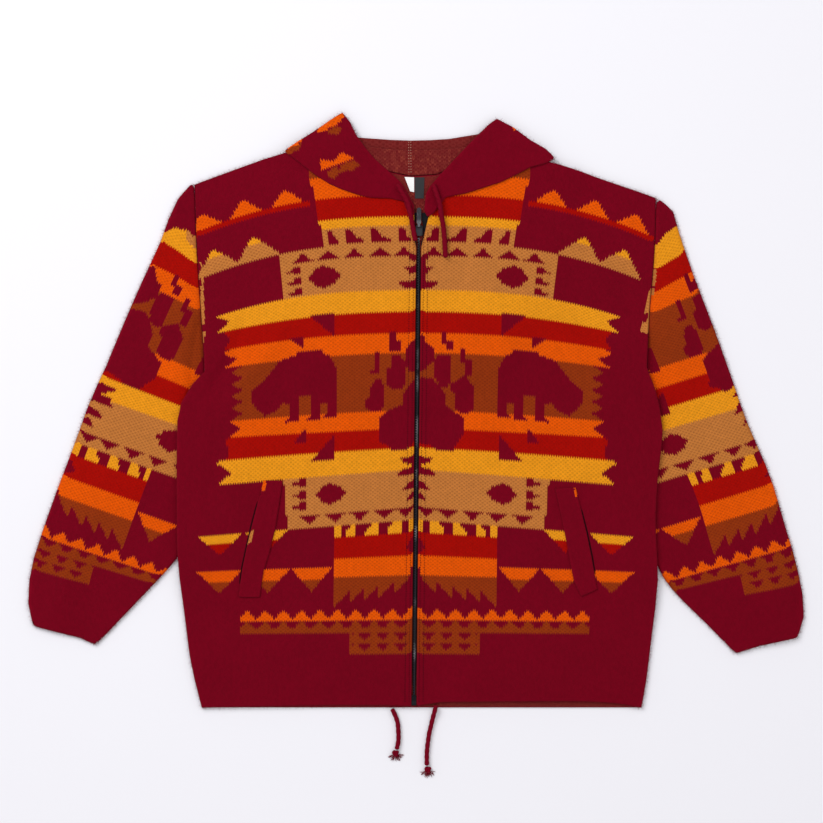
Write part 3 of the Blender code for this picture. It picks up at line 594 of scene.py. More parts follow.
def rimOf(quads, flat):
    # a panel's rim as a loop of point numbers, its plan, and which way is out at each
    rim, start, end = boundaryOf(quads, len(flat))
    following = dict(zip(start[rim].tolist(), end[rim].tolist()))
    loop = [next(iter(following))]
    while following[loop[-1]] != loop[0]:
        loop.append(following[loop[-1]])
    ring = flat[loop]
    along = np.roll(ring, -3, axis=0) - np.roll(ring, 3, axis=0)
    outward = np.stack([along[:, 1], -along[:, 0]], 1)
    outward /= np.maximum(np.linalg.norm(outward, axis=1), 1e-9)[:, None]
    return loop, ring, outward


def coarseFill(ring, ringNumbers, count):
    # wide triangles that close a panel's hidden side, with their inner points numbered from count
    grid = np.stack(np.meshgrid(np.arange(ring[:, 0].min(), ring[:, 0].max(), panel["fillStep"]),
                                np.arange(ring[:, 1].min(), ring[:, 1].max(), panel["fillStep"])), -1)
    grid = grid.reshape(-1, 2)
    inner = grid[toOutline(grid, ring)[0] < -panel["fillClear"]]
    spots = [Vector(p) for p in np.concatenate([ring, inner]).tolist()]
    sides = [(k, (k + 1) % len(ring)) for k in range(len(ring))]
    _, _, fill, origin, *_ = delaunay_2d_cdt(spots, sides, [], 1, 1e-7)
    index = np.array([items[0] if items else -1 for items in origin])
    fill = index[np.array([list(t) for t in fill])]
    fill = fill[(fill >= 0).all(1)]
    onRing = ringNumbers[np.minimum(fill, len(ring) - 1)]
    return inner, np.where(fill < len(ring), onRing, fill - len(ring) + count)


panel = {"snap": 0.62, "sliver": 0.12, "toothClear": 1.0, "toothFade": 5.0, "fillStep": 24.0, "fillClear": 8}


def clothPanel(name, outline, place, span, seen, depth, chart, materials, up=True, zigzag=True, inset=1.3,
               edge=None, gape=None, gapeShare=None, bothSides=False, stitch=None, hidden="burgundy"):
    # a panel of knitted cloth: a dense face of stitches, its rolled edge, and its hidden side
    wale, course = stitch or (knit["wale"], knit["course"])
    edge = edge or roundEdge(inset, 3)
    (uLow, uHigh), (vLow, vHigh) = span
    step = wale / 2 if zigzag else wale
    columns = np.arange(round(uLow / step), round(uHigh / step) + 1)
    rows = np.arange(round(vLow / course), round(vHigh / course) + 1)
    i, j = np.meshgrid(columns, rows)
    u = i * step
    v = j * course
    x, y = place(u, v)
    if zigzag:
        # the points of the stitches shrink away towards the panel's edge, which stays clean
        depthIn = -toOutline(np.stack([x.ravel(), y.ravel()], 1), outline)[0].reshape(i.shape)
        shrink = np.clip((depthIn - inset - panel["toothClear"]) / panel["toothFade"], 0, 1)
        v = v - knit["tooth"] * course * (i % 2) * shrink
        x, y = place(u, v)
    flat = np.stack([x.ravel(), y.ravel()], 1)
    distance, nearest = toOutline(flat, outline)
    out = (flat - nearest) / np.where(np.abs(distance) < 1e-6, 1, distance)[:, None]
    near = np.abs(distance + inset) < panel["snap"] * max(step, course)
    flat = np.where(near[:, None], flat - out * (distance + inset)[:, None], flat)
    kept = (near | (distance < -inset)).reshape(i.shape)
    number = np.arange(i.size).reshape(i.shape)
    whole = kept[:-1, :-1] & kept[1:, :-1] & kept[1:, 1:] & kept[:-1, 1:]
    quads = np.stack([number[:-1, :-1], number[:-1, 1:], number[1:, 1:], number[1:, :-1]], -1)[whole]
    cell = np.stack([i[:-1, :-1], j[:-1, :-1]], -1)[whole]
    first, second = flat[quads[:, 2]] - flat[quads[:, 0]], flat[quads[:, 3]] - flat[quads[:, 1]]
    area = 0.5 * (first[:, 0] * second[:, 1] - first[:, 1] * second[:, 0])
    if np.median(area) < 0:
        quads, area = quads[:, ::-1], -area
    good = area > panel["sliver"] * step * course
    spot = distance[quads].mean(1)
    keep, quads, cell = wholeCloth(quads[good], cell[good], i.size, spot[good])
    quads, cell = quads[keep], cell[keep]
    used, where = np.unique(quads, return_inverse=True)
    quads = where.reshape(quads.shape)
    flat = flat[used]
    uvs = np.stack([u.ravel()[used] / wale, v.ravel()[used] / course], 1)
    middle = flat[quads].mean(1)
    across = np.floor(cell[:, 0] / 2) + 0.5 if zigzag else cell[:, 0] + 0.5
    colours = yarnTable[chart(across, cell[:, 1] + 0.5, middle[:, 0], middle[:, 1])]
    sign = 1 if up else -1
    level = seen(flat[:, 0], flat[:, 1])
    thick = depth(flat[:, 0], flat[:, 1]) if callable(depth) else np.full(len(flat), float(depth))
    loop, ring, outward = rimOf(quads, flat)
    share = gapeShare(ring[:, 0], ring[:, 1]) if gape else np.zeros(len(loop))
    rimColours = yarnTable[chart(uvs[loop, 0], uvs[loop, 1], ring[:, 0], ring[:, 1])]

    points, allUvs, allColours = [np.column_stack([flat, level])], [uvs], [colours]
    faces, slots = [quads if up else quads[:, ::-1]], [np.zeros(len(quads), int)]
    count, before = len(flat), np.array(loop)
    shapes = [(a[0] * (1 - share) + b[0] * share, a[1] * (1 - share) + b[1] * share)
              for a, b in zip(edge, gape or edge)]
    shapes.append((np.zeros(len(loop)), np.ones(len(loop))))
    for turn, (reach, fall) in enumerate(shapes):
        last = turn == len(shapes) - 1
        if last and bothSides:
            here = count + np.array(loop)
        else:
            here = count + np.arange(len(loop))
            z = level[loop] - sign * thick[loop] * fall
            points.append(np.column_stack([ring + outward * reach[:, None], z]))
            allUvs.append(uvs[loop] + [0.0, 0.5 * (turn + 1)])
            count += len(loop)
        strip = np.stack([before, here, np.roll(here, -1), np.roll(before, -1)], 1)
        shown = np.ones(len(loop), bool)
        if bothSides and turn == len(shapes) // 2:
            shown = share < 0.5    # the tube stays open where it gapes
        faces.append((strip if up else strip[:, ::-1])[shown])
        allColours.append(rimColours[shown])
        slots.append(np.zeros(shown.sum(), int))
        before = here
    if bothSides:
        points.append(np.column_stack([flat, level - sign * thick]))
        allUvs.append(uvs)
        faces.append((quads[:, ::-1] if up else quads) + count)
        allColours.append(colours)
        slots.append(np.zeros(len(quads), int))
    else:
        inner, fill = coarseFill(ring, before, count)
        innerDepth = depth(inner[:, 0], inner[:, 1]) if callable(depth) else float(depth)
        points.append(np.column_stack([inner, seen(inner[:, 0], inner[:, 1]) - sign * innerDepth]))
        allUvs.append(inner / [wale, course])
        faces.append(fill[:, ::-1] if up else fill)
        allColours.append(np.repeat(yarnTable[[yarnNames.index(hidden)]], len(fill), axis=0))
        slots.append(np.full(len(fill), len(materials) - 1))
    return makePiece(name, np.concatenate(points), [f for group in faces for f in group.tolist()],
                     np.concatenate(allUvs), np.concatenate(allColours), materials, np.concatenate(slots),
                     mend=not bothSides)


# materials

def node(tree, kind, inputs=None, **settings):
    made = tree.nodes.new("ShaderNode" + kind)
    for key, value in settings.items():
        setattr(made, key, value)
    for key, value in (inputs or {}).items():
        if isinstance(value, bpy.types.NodeSocket):
            tree.links.new(value, made.inputs[key])
        else:
            made.inputs[key].default_value = value
    return made


def maths(tree, operation, a, b=0.0, c=0.0):
    return node(tree, "Math", {0: a, 1: b, 2: c}, operation=operation).outputs[0]


def mixed(tree, share, a, b, blend="MIX"):
    made = node(tree, "Mix", data_type="RGBA", blend_type=blend)
    for socket, value in ((made.inputs[0], share), (made.inputs[6], a), (made.inputs[7], b)):
        if isinstance(value, bpy.types.NodeSocket):
            tree.links.new(value, socket)
        else:
            socket.default_value = value
    return made.outputs[2]


def newGroup(name, inputs, outputs):
    group = bpy.data.node_groups.new(name, "ShaderNodeTree")
    for label, kind, value in inputs:
        socket = group.interface.new_socket(name=label, in_out="INPUT", socket_type="NodeSocket" + kind)
        if value is not None:
            socket.default_value = value
    for label, kind in outputs:
        group.interface.new_socket(name=label, in_out="OUTPUT", socket_type="NodeSocket" + kind)
    return group, group.nodes.new("NodeGroupInput"), group.nodes.new("NodeGroupOutput")


def stitchGroup():
    # one knitted V: two slanting legs in each wale, one V to a course
    group, given, result = newGroup(
        "knittedStitch", [("Stitch", "Vector", None)],
        [("Height", "Float"), ("Gap", "Float"), ("Dot", "Float"), ("Chance", "Float")])
    parts = node(group, "SeparateXYZ", {0: given.outputs["Stitch"]}).outputs
    side = maths(group, "ABSOLUTE", maths(group, "SUBTRACT", maths(group, "FRACT", parts[0]), 0.5))
    slant = maths(group, "MULTIPLY_ADD", maths(group, "SUBTRACT", 0.5, side), 2 * knit["tooth"], parts[1])
    row = maths(group, "FRACT", slant)
    across = maths(group, "SUBTRACT", maths(group, "MULTIPLY", side, 4.0), 1.0)
    along = maths(group, "SUBTRACT", maths(group, "MULTIPLY", row, 2.0), 1.0)
    legShape = maths(group, "SUBTRACT", 1.0, maths(group, "POWER", maths(group, "ABSOLUTE", across), 2.2))
    rowShape = maths(group, "SUBTRACT", 1.0, maths(group, "POWER", maths(group, "ABSOLUTE", along), 2.6))
    height = maths(group, "SQRT", maths(group, "MAXIMUM", maths(group, "MULTIPLY", legShape, rowShape), 0.0))
    gap = maths(group, "SUBTRACT", 1.0, height)
    stitchCell = node(group, "CombineXYZ", {0: maths(group, "FLOOR", parts[0]),
                                            1: maths(group, "FLOOR", slant)})
    chance = node(group, "TexWhiteNoise", {"Vector": stitchCell.outputs[0]}, noise_dimensions="2D")
    group.links.new(height, result.inputs["Height"])
    group.links.new(gap, result.inputs["Gap"])
    # the other side's yarn shows as a dot beside every second stitch
    turns = maths(group, "ADD", maths(group, "FLOOR", parts[0]), maths(group, "FLOOR", parts[1]))
    second = maths(group, "MULTIPLY", maths(group, "FRACT", maths(group, "MULTIPLY", turns, 0.5)), 2.0)
    low = maths(group, "ABSOLUTE", maths(group, "SUBTRACT", maths(group, "FRACT", parts[1]), 0.5))
    spot = maths(group, "ADD", maths(group, "POWER", maths(group, "MULTIPLY", side, 2.0), 2.0),
                 maths(group, "POWER", maths(group, "MULTIPLY", low, 2.0), 2.0))
    dot = maths(group, "MAXIMUM", maths(group, "SUBTRACT", 1.0, spot), 0.0)
    group.links.new(maths(group, "MULTIPLY", dot, second), result.inputs["Dot"])
    group.links.new(chance.outputs["Value"], result.inputs["Chance"])
    return group


def fibreGroup():
    # loose wool fibres: fine streaks, and slow cloudy changes of the dye
    group, given, result = newGroup(
        "woolFibre", [("Scale", "Float", 900.0)], [("Streaks", "Float"), ("Clouds", "Float")])
    place = node(group, "TexCoord").outputs["Object"]
    fine = node(group, "TexNoise", {"Vector": place, "Scale": given.outputs["Scale"], "Detail": 3.0,
                                    "Distortion": 1.2})
    slow = node(group, "TexNoise", {"Vector": place, "Scale": 22.0, "Detail": 3.0})
    group.links.new(fine.outputs[0], result.inputs["Streaks"])
    group.links.new(slow.outputs[0], result.inputs["Clouds"])
    return group


wool = {"chance": 0.07, "streaks": 0.16, "clouds": 0.07, "rough": 0.92, "specular": 0.03, "sheen": 0.012,
        "depth": 0.0008, "fleck": 0.22}
groups = {"stitch": stitchGroup(), "fibre": fibreGroup()}


def newMaterial(name):
    material = bpy.data.materials.new(name)
    material.use_nodes = True
    return material, material.node_tree, material.node_tree.nodes["Principled BSDF"]


def fromRange(tree, value, low, high):
    return node(tree, "MapRange", {"Value": value, "To Min": low, "To Max": high}).outputs[0]


def woolMaterial(name, flecks=0.0):
    # knitted wool: yarn colour from the chart, darker between the stitches with painted shade, with the
    # other yarns as flecks
    material, tree, shader = newMaterial(name)
    place = node(tree, "UVMap", uv_map="stitch").outputs[0]
    stitch = node(tree, "Group", {"Stitch": place}, node_tree=groups["stitch"]).outputs
    fibre = node(tree, "Group", node_tree=groups["fibre"]).outputs
    paint = node(tree, "Attribute", attribute_name="yarn", attribute_type="GEOMETRY").outputs
    colour = paint["Color"]
    if flecks:
        warm = maths(tree, "GREATER_THAN", stitch["Chance"], 1 - flecks)
        colour = mixed(tree, maths(tree, "MULTIPLY", warm, wool["fleck"]), colour, (*linear(176, 84, 60), 1))
        dark = maths(tree, "LESS_THAN", stitch["Chance"], flecks)
        colour = mixed(tree, maths(tree, "MULTIPLY", dark, wool["fleck"]), colour, (*yarn["burgundy"], 1))
    shown = maths(tree, "MAXIMUM", node(tree, "MapRange",
                                        {"Value": stitch["Gap"], "From Min": 0.4}).outputs[0],
                  node(tree, "MapRange", {"Value": stitch["Dot"], "From Max": 0.35}).outputs[0])
    # painted shade: the gaps between the stitches, and the dots, mix toward a burgundy darker than any yarn;
    # the dots are also the burgundy yarn behind
    gap = maths(tree, "MULTIPLY", shown, paint["Alpha"])
    ground = (*linear(92, 10, 14), 1)
    colour = mixed(tree, gap, colour, ground)
    bright = maths(tree, "ADD", fromRange(tree, stitch["Chance"], -wool["chance"], wool["chance"]),
                   fromRange(tree, fibre["Streaks"], -wool["streaks"], wool["streaks"]))
    bright = maths(tree, "ADD", bright, fromRange(tree, fibre["Clouds"], -wool["clouds"], wool["clouds"]))
    bright = maths(tree, "ADD", bright, 1.0)
    grey = node(tree, "CombineXYZ", {0: bright, 1: bright, 2: bright}).outputs[0]
    colour = mixed(tree, 1.0, colour, grey, "MULTIPLY")
    tree.links.new(colour, shader.inputs["Base Color"])
    shader.inputs["Roughness"].default_value = wool["rough"]
    shader.inputs["Specular IOR Level"].default_value = wool["specular"]
    shader.inputs["Sheen Weight"].default_value = wool["sheen"]
    shader.inputs["Sheen Roughness"].default_value = 0.6
    height = maths(tree, "ADD", stitch["Height"], maths(tree, "MULTIPLY", fibre["Streaks"], 0.8))
    bump = node(tree, "Bump", {"Height": height, "Strength": 0.6, "Distance": wool["depth"]})
    tree.links.new(bump.outputs[0], shader.inputs["Normal"])
    return material


def plainMaterial(name, colour, rough, metallic=0.0, grain=900.0, vary=0.25, depth=0.0003, paintedGlint=None):
    # one colour with a fine grain; metal gets brighter patches of painted highlight (glints)
    material, tree, shader = newMaterial(name)
    fibre = node(tree, "Group", {"Scale": grain}, node_tree=groups["fibre"]).outputs
    bright = maths(tree, "ADD", fromRange(tree, fibre["Streaks"], -vary, vary), 1.0)
    grey = node(tree, "CombineXYZ", {0: bright, 1: bright, 2: bright}).outputs[0]
    shade = mixed(tree, 1.0, (*colour, 1), grey, "MULTIPLY")
    # painted highlights: bright cloudy patches on the metal stand in for its glints
    if paintedGlint:
        glintShare = node(tree, "MapRange", {"Value": fibre["Clouds"], "From Min": 0.52,
                                      "From Max": 0.66}).outputs[0]
        shade = mixed(tree, maths(tree, "MULTIPLY", glintShare, 0.7), shade, (*paintedGlint, 1))
    tree.links.new(shade, shader.inputs["Base Color"])
    roughness = fromRange(tree, fibre["Streaks"], rough - 0.08, min(1.0, rough + 0.08))
    tree.links.new(roughness, shader.inputs["Roughness"])
    shader.inputs["Metallic"].default_value = metallic
    shader.inputs["Specular IOR Level"].default_value = 0.06 if rough > 0.8 else 0.4
    bump = node(tree, "Bump", {"Height": fibre["Streaks"], "Strength": 0.5, "Distance": depth})
    tree.links.new(bump.outputs[0], shader.inputs["Normal"])
    return material


materials = {
    "wool": woolMaterial("wool"),
    "reverse": woolMaterial("wool reverse", 0.22),
    "cord": plainMaterial("cord wool", linear(108, 2, 24), 0.9, vary=0.35),
    "tape": plainMaterial("zip tape", linear(26, 24, 28), 0.85),
    "teeth": plainMaterial("zip teeth", linear(52, 49, 54), 0.42, 0.5, paintedGlint=linear(168, 166, 170)),
    "metal": plainMaterial("dark nickel", linear(24, 24, 27), 0.36, 0.85, 1500.0, 0.15,
                           paintedGlint=linear(66, 66, 70)),
    "pull": plainMaterial("nickel with painted glints", linear(52, 52, 56), 0.34, 0.85, 1500.0, 0.2,
                          paintedGlint=linear(140, 140, 144)),
    "label": plainMaterial("woven label", linear(20, 20, 24), 0.55, grain=1600.0),
    "tag": plainMaterial("white tag", linear(236, 236, 234), 0.6, grain=1600.0, vary=0.08),
    "thread": plainMaterial("dark thread", linear(58, 4, 18), 0.85),
    "paleThread": plainMaterial("pale thread", linear(196, 150, 128), 0.85),
    # painted shade: a dark colour for the shadow inside the pocket slits
    "shade": plainMaterial("painted shade inside the pocket", linear(34, 4, 10), 0.95),
}
print("materials made")


# the body: two fronts and the back

bodyRows = {    # by height above the hem at the zip: how far a row has dropped 250 mm out, and its bend
    "height": (0, 59, 113, 176, 238, 301, 325, 351.5, 375.5, 445, 471, 499, 525, 588, 682, 760),
    "drop": (0, 1.3, 2.6, 7.6, 19.5, 19.0, 16.4, 12.0, 15.0, 20.0, 22.7, 26.5, 32.8, 39.0, 50.4, 60.0),
    "bend": (1.0, 1.0, 1.0, 1.0, 1.0, 1.05, 1.3, 1.2, 1.5, 1.9, 2.2, 2.2, 2.6, 2.6, 2.6, 2.6),
    "widthAt": (223, 515, 586, 675), "width": (0.975, 1.0, 1.045, 1.155),
}


def bodyPlace(u, v):
    drop = np.interp(v, bodyRows["height"], bodyRows["drop"])
    bend = np.interp(v, bodyRows["height"], bodyRows["bend"])
    width = np.interp(v, bodyRows["widthAt"], bodyRows["width"])
    x = zipAt(v) + u * width
    return x, garment["hemY"] + v - drop * (np.abs(u) / 250.0) ** bend


seamStrips = (    # tan stitches that show beside the armhole seams, and their gaps: outlines in plan
    ("tan", ((-272, 564), (-270.5, 541), (-271.5, 510), (-272, 484), (-266, 482), (-267, 510), (-268, 541),
             (-268.6, 556))),
    ("tan", ((-270.5, 473), (-265, 473), (-267.6, 452), (-271, 460))),
    ("tan", ((300.8, 556), (295.9, 531), (290.2, 517), (285.3, 496), (281.5, 473), (291.1, 470), (293, 490),
             (297.9, 513.6), (299.8, 531), (302.1, 548))),
    ("burgundy", ((294, 531), (301, 531), (301, 527.5), (293, 527.5))),
    ("burgundy", ((283, 495), (290.5, 496), (289, 484.5), (284, 484.5))),
)


def stripped(picture, x, y):
    for name, outline in seamStrips:
        picture[inside(x, y - garment["hemY"], outline)] = yarnNames.index(name)
    return picture


def bodyChart(c, r, x, y):
    return stripped(chartOf(c, r), x, y)


frontCreases = (    # soft troughs and ridges, mm, directions in degrees
    {"at": (-236, 62), "long": 58, "wide": 9, "turn": 62, "rise": -2.2, "bend": 8},
    {"at": (-214, 40), "long": 66, "wide": 13, "turn": 55, "rise": 2.4, "bend": -6},
    {"at": (-180, 86), "long": 74, "wide": 16, "turn": 70, "rise": 1.5},
    {"at": (-250, -60), "long": 80, "wide": 15, "turn": 84, "rise": -1.8, "bend": 6},
    {"at": (-130, -210), "long": 90, "wide": 20, "turn": 96, "rise": 1.2, "bend": -9},
    {"at": (-60, -330), "long": 60, "wide": 18, "turn": 84, "rise": 1.4},
    {"at": (238, 70), "long": 62, "wide": 10, "turn": -60, "rise": -2.2, "bend": -8},
    {"at": (212, 46), "long": 60, "wide": 14, "turn": -52, "rise": 2.2, "bend": 5},
    {"at": (262, -70), "long": 86, "wide": 16, "turn": -86, "rise": -1.7},
    {"at": (150, -220), "long": 84, "wide": 18, "turn": -94, "rise": 1.3, "bend": 8},
    {"at": (70, -326), "long": 64, "wide": 16, "turn": -88, "rise": 1.3},
    {"at": (-42, 176), "long": 60, "wide": 12, "turn": 78, "rise": -0.9},
    {"at": (48, 180), "long": 66, "wide": 13, "turn": -74, "rise": -0.9},
)
fronts = {"front_left": ((-321, 0), -1), "front_right": ((0, 330), 1)}
heights = {}


def creased(field, creases, seed, amount, ground=None):
    def level(x, y):
        found = field(x, y) + creaseHeight(x, y, creases) + unevenness(x, y, seed, amount)
        return found if ground is None else np.maximum(found, ground)
    return level


for number, (name, (span, side)) in enumerate(fronts.items()):
    outline = outlineOf(name)
    field = heightField([name], soften=9.0)
    heights[name] = creased(field, frontCreases, 3 + number, 0.22)
    front = clothPanel(name + "_cloth", outline, bodyPlace, (span, (-8, 765)), heights[name],
                       garment["cloth"],
                       bodyChart, [materials["wool"], materials["reverse"]], hidden="reverse")
    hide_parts(name)
print("fronts knitted")

backOutline = outlineOf("back", up=False)
backField = heightField(["back"], up=False, soften=9.0)
def backChart(c, r, x, y):
    return np.where(r > 290, 0, chartOf(c, r))


back = clothPanel("back_cloth", backOutline, bodyPlace, ((-321, 330), (-8, 765)), backField,
                  garment["cloth"],
                  backChart, [materials["wool"], materials["reverse"]], up=False, zigzag=False,
                  hidden="reverse")
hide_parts("back")
print("back knitted")


# sleeves, pressed flat: rows start at the outer fold and droop towards the body

sleeves = {
    "sleeve_left": {
        "outer": ((-482, 103), (-488, 130), (-484, 178), (-468, 228), (-452, 273), (-427, 339), (-410, 387),
                  (-392, 425), (-374, 469), (-355, 513), (-338, 551), (-323, 582), (-313, 611), (-304, 633),
                  (-293, 650), (-279, 660), (-262, 668)),
        "cuff": ((-482, 103), (-403, 79)), "armhole": ((-266, 423), (-279, 658)),
        "turn": (14.0, 15.0, 18.5, 19.6, 19.4, 21.8, 21.8, 20.5, 20.5, 23.0, 26.0),
        "sag": (0.0, 0.0002, 0.0013, 0.0026, 0.005), "side": 1,
    },
    "sleeve_right": {
        "outer": ((479, 88), (486, 105), (488, 127), (482, 161), (474, 194), (462, 232), (449, 278),
                  (437, 310),
                  (414, 362), (399, 406), (376, 471), (361, 510), (348, 544), (337, 576), (327, 606),
                  (321, 629),
                  (310, 636), (301, 641), (284, 652)),
        "cuff": ((479, 88), (401, 68)), "armhole": ((289, 428), (301, 641)),
        "turn": (11.0, 11.5, 15.8, 17.0, 16.4, 17.2, 17.2, 20.0, 23.0, 26.0, 29.0),
        "sag": (0.0, 0.0001, 0.0008, 0.0022, 0.003), "side": -1,
    },
}
sleeveRows = {"turnAt": (0, 75, 118, 195, 305, 345, 385, 455, 486, 517, 640),
              "sagAt": (330, 385, 455, 486, 517)}
sleeveEdge = {"inset": 3.4, "lift": 0.25}
sleeveCreases = {
    "sleeve_left": (
        {"at": (-277, 70), "long": 74, "wide": 9, "turn": 82, "rise": -3.6, "bend": -5},
        {"at": (-296, 74), "long": 70, "wide": 12, "turn": 78, "rise": 1.8, "bend": -6},
        {"at": (-330, 120), "long": 60, "wide": 14, "turn": 60, "rise": -1.3, "bend": 7},
        {"at": (-372, 20), "long": 90, "wide": 17, "turn": 66, "rise": 1.2},
        {"at": (-410, -110), "long": 80, "wide": 18, "turn": 72, "rise": -1.1, "bend": 8},
        {"at": (-440, -190), "long": 60, "wide": 16, "turn": 80, "rise": 1.0},
    ),
    "sleeve_right": (
        {"at": (300, 30), "long": 76, "wide": 12, "turn": -80, "rise": -2.4, "bend": 5},
        {"at": (322, 60), "long": 72, "wide": 14, "turn": -74, "rise": 1.6},
        {"at": (352, 90), "long": 58, "wide": 15, "turn": -62, "rise": -1.2, "bend": -6},
        {"at": (384, -10), "long": 88, "wide": 18, "turn": -68, "rise": 1.3},
        {"at": (420, -130), "long": 76, "wide": 17, "turn": -74, "rise": -1.1, "bend": -7},
        {"at": (446, -200), "long": 56, "wide": 15, "turn": -82, "rise": 0.9},
    ),
}


def sleevePlace(row):
    knots = np.array(row["outer"], float) + [0, garment["hemY"]]
    runs = np.concatenate([[0], np.cumsum(np.linalg.norm(np.diff(knots, axis=0), axis=1))])
    fine = np.linspace(-40, runs[-1] + 60, 400)
    path = []
    for axis in (0, 1):
        line = np.interp(fine, runs, knots[:, axis])
        line += np.clip(fine, None, 0) * (knots[1, axis] - knots[0, axis]) / runs[1]
        line += np.clip(fine - runs[-1], 0,
                        None) * (knots[-1, axis] - knots[-2, axis]) / (runs[-1] - runs[-2])
        path.append(np.convolve(np.pad(line, 8, mode="reflect", reflect_type="odd"), np.ones(17) / 17,
                                "valid"))

    def place(u, v):
        turn = np.radians(np.interp(v, sleeveRows["turnAt"], row["turn"]))
        x = np.interp(v, fine, path[0]) + row["side"] * u * np.cos(turn)
        sag = np.interp(v, sleeveRows["sagAt"], row["sag"])
        return x, np.interp(v, fine, path[1]) - u * np.sin(turn) - sag * u * np.abs(u)

    return place


# where the body's chart lies on each sleeve: its rows, and its middle in stitches from the fold
sleevePatterns = {
    "sleeve_left": {
        "rows": ((0, 47, 88, 108, 137, 151, 216, 230, 300),
                 (0, 45, 86, 105.8, 134.5, 148.5, 210, 222.3, 292)),
        "middle": ((35, 58, 105, 124, 165), (-3.0, -1.1, -0.3, 1.2, 1.0)), "half": 1,
        "cap": ((-330, -318, -310, -302, -295, -287, -278, -273, -270),
                (600, 598, 600, 604, 601, 600, 588, 577, 563)),
        "tan": ((-289, -276),),
    },
    "sleeve_right": {
        "rows": ((0, 32, 53.4, 80, 89.6, 102, 136.4, 147.7, 216, 228.1, 300),
                 (0, 31, 51, 76.6, 86.2, 99, 134, 145.6, 210, 222.3, 294)),
        "middle": ((31, 58, 105, 124, 165, 205), (-3.7, -2.9, -2.9, -4.2, -6.8, -7.1)), "half": -1,
        "cap": ((300, 304, 314, 327, 340), (577, 584, 597, 605, 606)),
        "tan": (),
    },
}
def sleeveChart(row):
    def chart(c, r, x, y):
        rows = np.interp(r, *row["rows"])
        picture = chartOf(row["half"] * (c - np.interp(rows, *row["middle"])), rows, sleeve=True)
        up = y - garment["hemY"]
        picture[rows >= 234] = yarnNames.index("yellow")
        line = np.interp(x, *row["cap"])
        for low, high in row["tan"]:
            picture[(x > low) & (x < high) & (up > line - 13) & (rows > 225)] = yarnNames.index("tan")
        picture[(up > line) & (rows > 215)] = 0
        return stripped(picture, x, y)
    return chart


def besideLine(x, y, ends):
    # 1 beside a straight line, 0 further off and past its ends
    along = ends[1] - ends[0]
    length = np.linalg.norm(along)
    off = np.abs((x - ends[0, 0]) * along[1] - (y - ends[0, 1]) * along[0]) / length
    share = ((x - ends[0, 0]) * along[0] + (y - ends[0, 1]) * along[1]) / length ** 2
    return np.clip((10 - off) / 4, 0, 1) * np.clip((0.5 - np.abs(share - 0.5)) * 14, 0, 1)


shoulderCaps = {"sleeve_left": (-284.0, 9.5, 8.5),
                "sleeve_right": (300.5, 4.0, 5.0)}    # place, rise, spread
for number, (name, row) in enumerate(sleeves.items()):
    outline = outlineOf(name)
    place, rise, spread = shoulderCaps[name]
    share = np.clip((outline[:, 1] - outline[:, 1].max() + 30) / 12, 0, 1)
    outline[:, 1] += rise * share * np.exp(-((outline[:, 0] - place) / spread) ** 2)
    field = heightField([name], soften=9.0)
    over = creased(field, sleeveCreases[name], 11 + number, 0.25, 3.4)
    heights[name] = over
    openings = [np.array(ends, float) + [0, garment["hemY"]] for ends in (row["cuff"], row["armhole"])]

    def atOpening(x, y, openings=openings):
        return np.maximum(*[besideLine(x, y, ends) for ends in openings])

    sleeve = clothPanel(name + "_cloth", outline, sleevePlace(row), ((-12, 270), (-12, 690)), over,
                        lambda x, y, over=over: over(x, y) - sleeveEdge["lift"],
                        sleeveChart(sleevePatterns[name]),
                        [materials["wool"], materials["reverse"]], inset=sleeveEdge["inset"],
                        edge=roundEdge(sleeveEdge["inset"], 8), gape=gapingEdge, gapeShare=atOpening,
                        bothSides=True)
    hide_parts(name)
print("sleeves knitted")


# hood: folded layers under the body, its inner side at the neck, and two flaps in front

hoodPatches = {    # outlines in plan: x, height above the hem
    "hood_left": (
        ("orange", ((-126, 724), (-112, 735), (-98, 744), (-91, 748), (-92, 741), (-99, 734), (-108, 729),
                    (-120, 722))),
        ("brown", ((-113, 723), (-104, 730), (-94, 729), (-97, 721), (-106, 720))),
        ("orange", ((-166, 700), (-154, 711), (-140, 717), (-144, 711), (-155, 703))),
        ("brown", ((-165, 699), (-154, 704), (-144, 710), (-147, 702), (-158, 695))),
        ("orange", ((-121, 688), (-113, 687), (-103, 686), (-97, 695), (-91, 696), (-87, 694), (-77, 690),
                    (-91, 686), (-99, 682), (-108, 679), (-119, 674))),
        ("brown", ((-113, 672), (-105, 677), (-96, 680), (-89, 685), (-79, 687), (-71, 681), (-79, 676),
                   (-89, 673), (-97, 671), (-103, 664), (-110, 667))),
        ("burgundy", ((-103, 676), (-97, 680), (-93, 680), (-96, 676))),
    ),
    "hood_right": (("orange", ((117, 732), (121, 733), (128, 727), (124, 724))),),
}
flaps = {"hood_left": {"turn": 20, "origin": (-92, 370)}, "hood_right": {"turn": -20, "origin": (100, 366)}}


def turnedPlace(origin, turn):
    cosine, sine = math.cos(math.radians(turn)), math.sin(math.radians(turn))
    return lambda u, v: (origin[0] + u * cosine - v * sine, origin[1] + u * sine + v * cosine)


def patchChart(rows, ground="burgundy"):
    def chart(c, r, x, y):
        picture = np.full(c.shape, yarnNames.index(ground))
        for name, outline in rows:
            picture[inside(x, y - garment["hemY"], outline)] = yarnNames.index(name)
        return picture
    return chart


